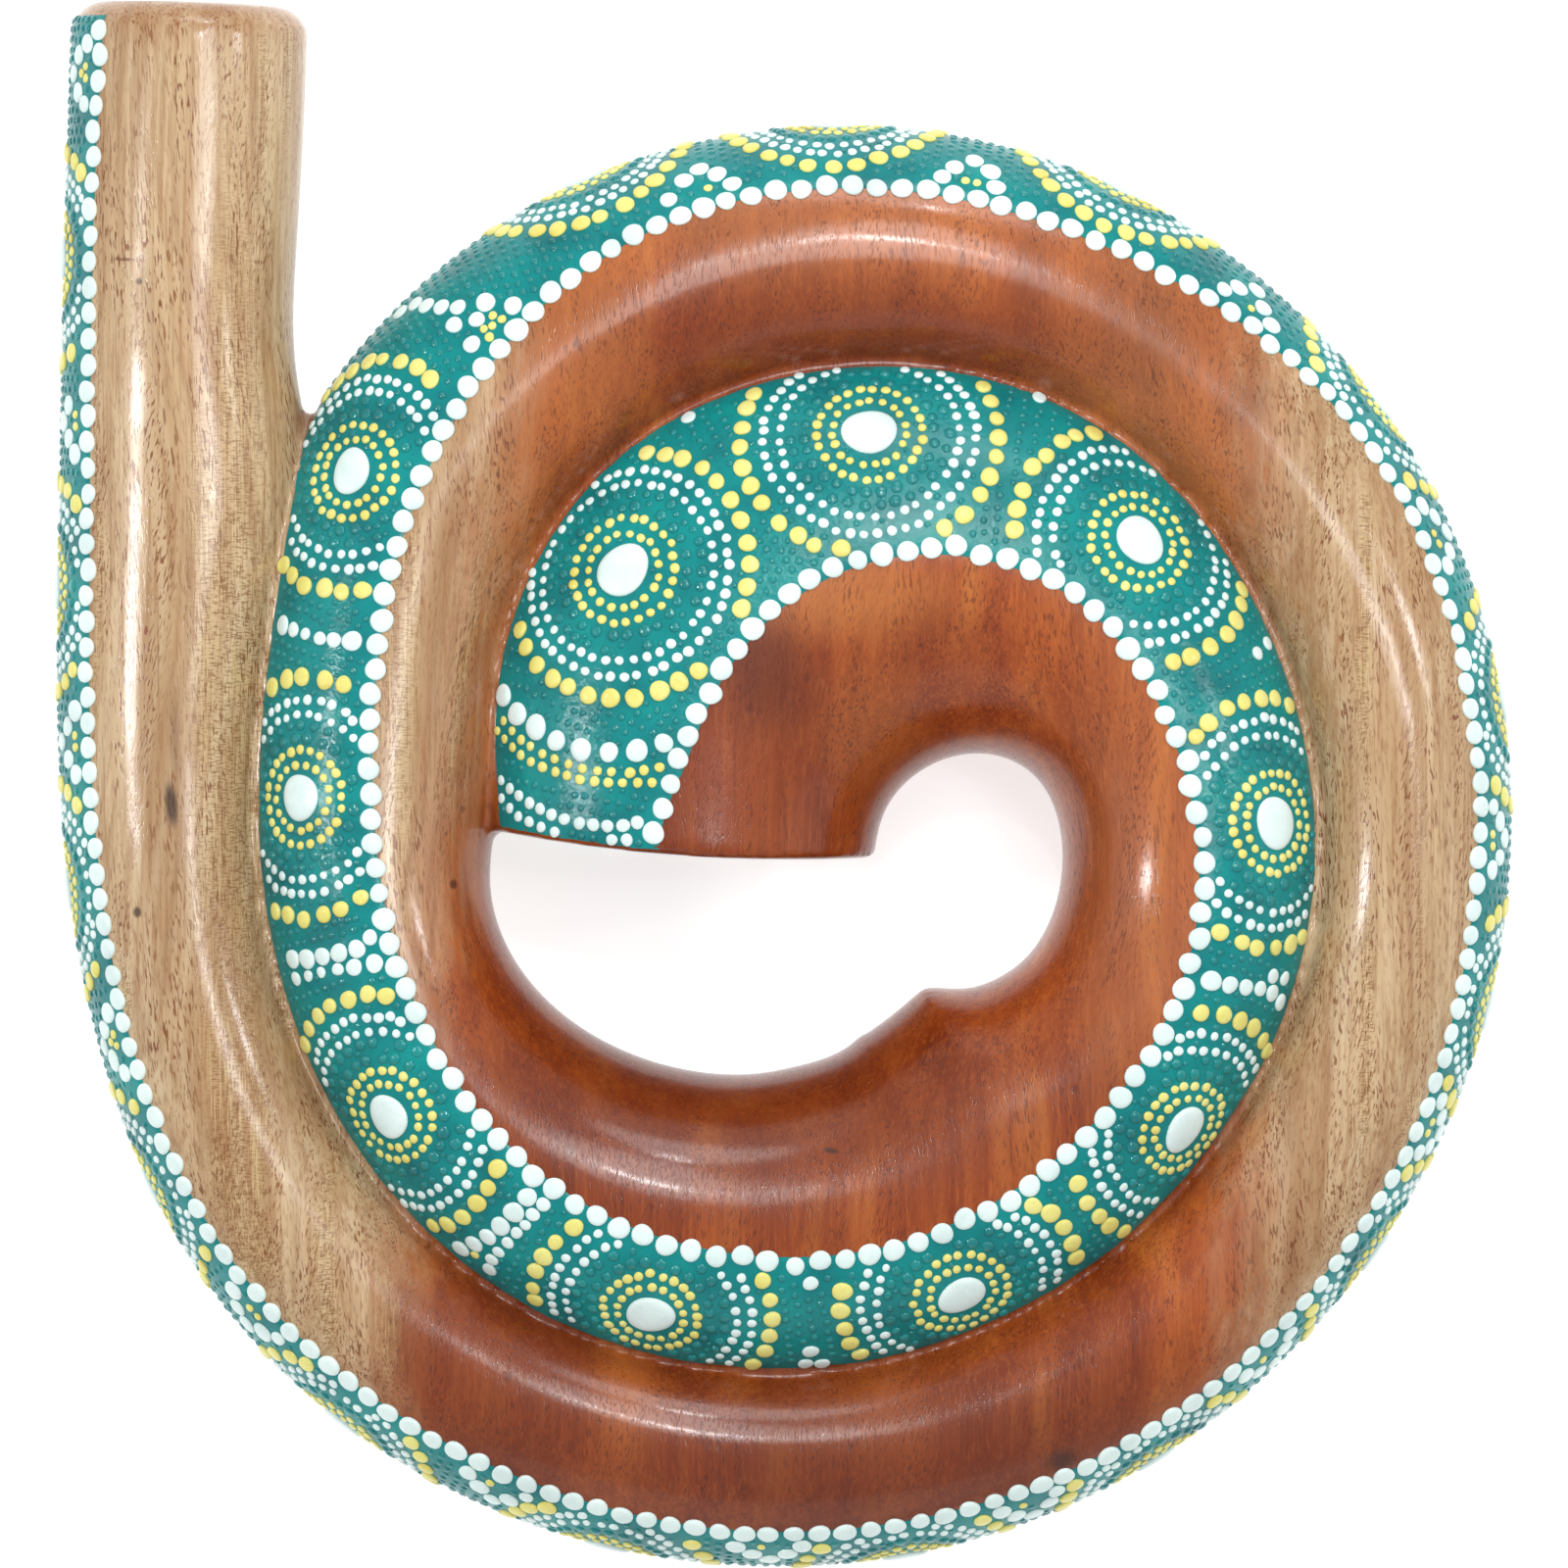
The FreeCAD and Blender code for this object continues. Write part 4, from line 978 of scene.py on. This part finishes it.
# the bell end: whites, two lines of small yellows, two lines of small whites by the rim
trail([(-71.3, 22.1), (-67.7, 17.1), (-62.4, 13.6), (-56.6, 9.7), (-50.1, 7.9), (-42.6, 7.6), (-35.9, 8.2), (-30.6, 9.9)], BIGW, [2.9, 3.0, 2.9, 2.7], 6.9, 0.95)
trail([(-71.3, 15.7), (-67.4, 11.2), (-61.6, 7.3), (-56.3, 5.1), (-50.8, 3.3), (-46.6, 2.8), (-39.3, 2.4), (-31.8, 3.8)], SMY, [1.2, 1.35], 3.9, 0.55)
trail([(-72.9, 13.1), (-70.4, 10.3), (-65.8, 5.9), (-60.4, 3.4), (-51.4, 0.5), (-43.7, -0.2), (-33.7, -0.1)], SMY, [1.3, 1.4], 3.9, 0.55)
trail([(-71.9, 0.5), (-69.3, -2.0), (-64.6, -5.4), (-58.3, -8.7), (-52.0, -10.5), (-44.9, -11.2), (-37.2, -10.9)], SMW, [1.45, 1.7], 3.9, 0.6)
trail([(-71.8, -4.1), (-68.0, -8.5), (-61.9, -11.4), (-55.3, -13.7), (-48.5, -14.6), (-40.1, -14.7)], SMW, [1.45, 1.75], 3.9, 0.6)


# dots set too close are eased apart along the surface, and made smaller where there is no room
TOUCH = 1.03


def settle():
    old, dots.kinds, dots.cells = dots.kinds, {}, {}
    eased = smaller = left_out = 0
    for kind in ("white_border_dots", "white_medallion_ovals", "yellow_arc_dots", "white_large_dots", "white_small_dots", "yellow_small_dots"):
        for p, n, e, a, b, h in old[kind]:
            r = max(a, b)
            q, m = p, n
            for _ in range(6):
                push = np.zeros(3)
                for c, s in dots.around(q):
                    d = q - np.array(c)
                    short = (r + s) * TOUCH - float(np.linalg.norm(d))
                    if short > 0:
                        push += unit(d) * min(short, 0.6)
                push = push - m * (push @ m)
                if np.linalg.norm(push) < 0.02:
                    break
                q, m = at(q + push)
            w = where(q)
            if np.linalg.norm(q - p) > 2.4 or w is None or (kind != "white_border_dots" and w[3] < 1.0):
                q, m = p, n
            elif q is not p:
                eased += 1
            k = min(1.0, dots.room(q) / (r * TOUCH))
            if k < 0.6:
                left_out += 1
                continue
            smaller += k < 0.97
            dots.add(kind, q, m, e, a * k, b * k, h * math.sqrt(k))
    print("eased", eased, "smaller", int(smaller), "left out", left_out)


settle()
for args in later:
    blobs(*args)


# low teal dots, the same colour as the ground, over everything that is left
def relief():
    made = 0
    pitch = 3.0
    for lo_u, hi_u, sides in ((5.0, NOTCH, (0,)), (NOTCH, BAND_END + 30, (1, -1))):
        for side in sides:
            for k, u in enumerate(np.arange(lo_u, hi_u, pitch * 0.87)):
                if side == 0:
                    ts = np.linspace(-float(f_edge(u)), float(f_edge(u)), 60)
                else:
                    if u > LAST - 1:
                        break
                    ts = side * np.linspace(float(low_at(u)), float(f_edge(u)), 60)
                g = skin(u, ts)
                s = np.r_[0, np.cumsum(np.linalg.norm(np.diff(g, axis=0), axis=1))]
                for goal in np.arange(1.2 + (k % 2) * pitch * 0.5, s[-1] - 3.4, pitch):
                    t = float(np.interp(goal + rng.normal(0, 0.18), s, ts))
                    p, n = at(skin(u + rng.normal(0, 0.18), t))
                    w = where(p)
                    if w is None or w[2] < 1.3 or w[3] < 3.0 or w[4] < 1.5 or dots.room(p) < 0.75:
                        continue
                    room = dots.room(p) / 1.03
                    dots.add("teal_relief_%d" % min(3, int(made_share(u) * 4)), p, n, np.array([1.0, 0, 0]) if abs(n[0]) < 0.9 else np.array([0, 1.0, 0]), min(rng.uniform(0.95, 1.2), room), min(rng.uniform(0.95, 1.2), room), rng.uniform(0.40, 0.55))
                    made += 1
    return made


print("relief", relief(), {k: len(v) for k, v in dots.kinds.items()})


def domes(name, kind, material, seg, rings, fit, ground=0.30):
    """One mesh of closed paint drops."""
    vs, fs = [], []
    th = np.arange(seg) * 2 * math.pi / seg
    for p, n, e, a, b, h in dots.kinds[kind]:
        e = unit(e - n * (e @ n))
        f = np.cross(n, e)
        base = len(vs) and sum(len(x) for x in vs)
        wob = 1 + 0.035 * np.cos(2 * th + rng.uniform(0, 6.28)) + 0.025 * np.cos(3 * th + rng.uniform(0, 6.28))
        block = []
        for rho, z in rings:
            x, y = a * rho * np.cos(th) * wob, b * rho * np.sin(th) * wob
            pts = p + x[:, None] * e + y[:, None] * f
            if fit:
                lift = []
                for q in pts.tolist():
                    loc, nor, idx, dist = body.find_nearest(q, 6.0)
                    lift.append(loc if loc is not None else q)
                pts = np.array(lift)
            block.append(pts + n * (ground + z * h if z > 0 else z))
        block.append((p + n * (ground + h))[None, :])
        vs.append(np.concatenate(block))
        for r in range(len(rings) - 1):
            for k in range(seg):
                k2 = (k + 1) % seg
                fs.append((base + r * seg + k, base + r * seg + k2, base + (r + 1) * seg + k2, base + (r + 1) * seg + k))
        last = base + (len(rings) - 1) * seg
        tip = base + len(rings) * seg
        for k in range(seg):
            fs.append((last + k, last + (k + 1) % seg, tip))
        fs.append(tuple(base + k for k in range(seg - 1, -1, -1)))
    return mesh_object(name, np.concatenate(vs), fs, material)


BIG = [(1.0, -0.25), (1.0, 0.42), (0.90, 0.70), (0.66, 0.90), (0.34, 0.985)]
SMALL = [(1.0, -0.2), (0.98, 0.50), (0.70, 0.88)]
LOW = [(1.0, -0.1), (0.84, 0.42), (0.56, 0.78), (0.26, 0.955)]
domes("white_border_dots", "white_border_dots", white, 20, BIG, True, 0.1)
domes("white_large_dots", "white_large_dots", white, 18, BIG, True)
domes("white_medallion_ovals", "white_medallion_ovals", white, 32, [(1.0, -0.25), (1.0, 0.38), (0.94, 0.66), (0.82, 0.86), (0.6, 0.97), (0.3, 1.0)], True)
domes("white_small_dots", "white_small_dots", white, 12, SMALL, False)
domes("yellow_small_dots", "yellow_small_dots", yellow, 12, SMALL, False)
domes("yellow_arc_dots", "yellow_arc_dots", yellow, 18, BIG, True)
for k in range(4):
    domes("teal_relief_%d" % k, "teal_relief_%d" % k, teal_drop, 9, LOW, False)


# ------------------------------------------------------------------ floor, light and camera
def floor():
    m = Nodes("pale_floor")
    p = m.place()
    n = m.noise(p, 0.02, 3.0)
    m.put(m.bsdf, "Base Color", m.mix(n, lin(214, 215, 216), lin(206, 207, 209)))
    m.bsdf.inputs["Roughness"].default_value = 0.85
    m.bsdf.inputs["Specular IOR Level"].default_value = 0.1
    m.bsdf.inputs["Emission Color"].default_value = (1.0, 1.0, 1.0, 1.0)
    m.bsdf.inputs["Emission Strength"].default_value = 0.70
    m.put(m.bsdf, "Normal", m.bump(m.noise(p, 1.5, 2.0), 0.00004, 0.3))
    me = bpy.data.meshes.new("pale_floor")
    s = 6.0
    me.from_pydata([(-s, -s, -0.0013), (s, -s, -0.0013), (s, s, -0.0013), (-s, s, -0.0013)], [], [(0, 1, 2, 3)])
    ob = bpy.data.objects.new("pale_floor", me)
    bpy.context.scene.collection.objects.link(ob)
    me.materials.append(m.mat)


def softbox(name, target, west_east, south_north, reach, wide, tall, power):
    """A soft panel facing target (metres) from these angles off straight up; tall is its side along the tilt."""
    d = Vector((math.tan(math.radians(west_east)), math.tan(math.radians(south_north)), 1.0)).normalized()
    data = bpy.data.lights.new(name, "AREA")
    data.shape, data.size, data.size_y, data.energy = "ELLIPSE", wide, tall, power
    ob = bpy.data.objects.new(name, data)
    ob.location = Vector(target) + d * reach
    ob.rotation_euler = d.to_track_quat("Z", "Y").to_euler()
    ob.visible_camera = False
    bpy.context.scene.collection.objects.link(ob)
    return ob


floor()
softbox("light_over", (0.024, 0.135, 0.04), 2, 10, 0.60, 0.14, 0.38, 0.95)
softbox("light_west", (-0.165, 0.066, 0.06), -42, 0, 1.2, 0.13, 0.30, 3.6)
softbox("light_north", (-0.02, -0.150, 0.06), 12, 58, 3.0, 1.4, 0.8, 13.0)
softbox("light_east", (-0.147, 0.085, 0.06), 25, 0, 1.2, 0.17, 0.36, 1.5)
softbox("light_right", (0.156, 0.045, 0.06), 40, 14, 1.2, 0.14, 0.18, 2.0)
# small bright cores inside the panels, for the sparkle on the wet lacquer
softbox("core_over", (0.024, 0.135, 0.04), 2, 10, 0.90, 0.030, 0.030, 0.55)
softbox("core_west", (-0.165, 0.066, 0.06), -42, 0, 1.5, 0.035, 0.060, 0.6)
softbox("core_north", (-0.02, -0.150, 0.06), 12, 50, 2.4, 0.06, 0.06, 2.2)
softbox("core_east", (-0.147, 0.085, 0.06), 25, 0, 1.5, 0.035, 0.060, 0.5)
for name, x, y in (("fill_west", -68, 0), ("fill_east", 68, 0), ("fill_north", 0, 68), ("fill_south", 0, -68)):
    softbox(name, (0, 0, 0.04), x, y, 1.9, 1.6, 1.0, 1.6)

world = bpy.data.worlds.new("studio")
world.use_nodes = True
world.node_tree.nodes["Background"].inputs[0].default_value = (1.0, 1.0, 1.0, 1.0)
world.node_tree.nodes["Background"].inputs[1].default_value = 0.58
bpy.context.scene.world = world
bpy.context.scene.view_settings.view_transform = "Standard"
bpy.context.scene.view_settings.look = "None"

cam = bpy.data.cameras.new("camera")
cam.sensor_width = 36.0
cam.lens = 540.0
cam.clip_start, cam.clip_end = 0.1, 100.0
eye = bpy.data.objects.new("camera", cam)
eye.location = (-0.00007, -0.00044, MID * 0.001 + 6.0)
eye.rotation_euler = (0.0, 0.0, 0.0)
bpy.context.scene.collection.objects.link(eye)
bpy.context.scene.camera = eye
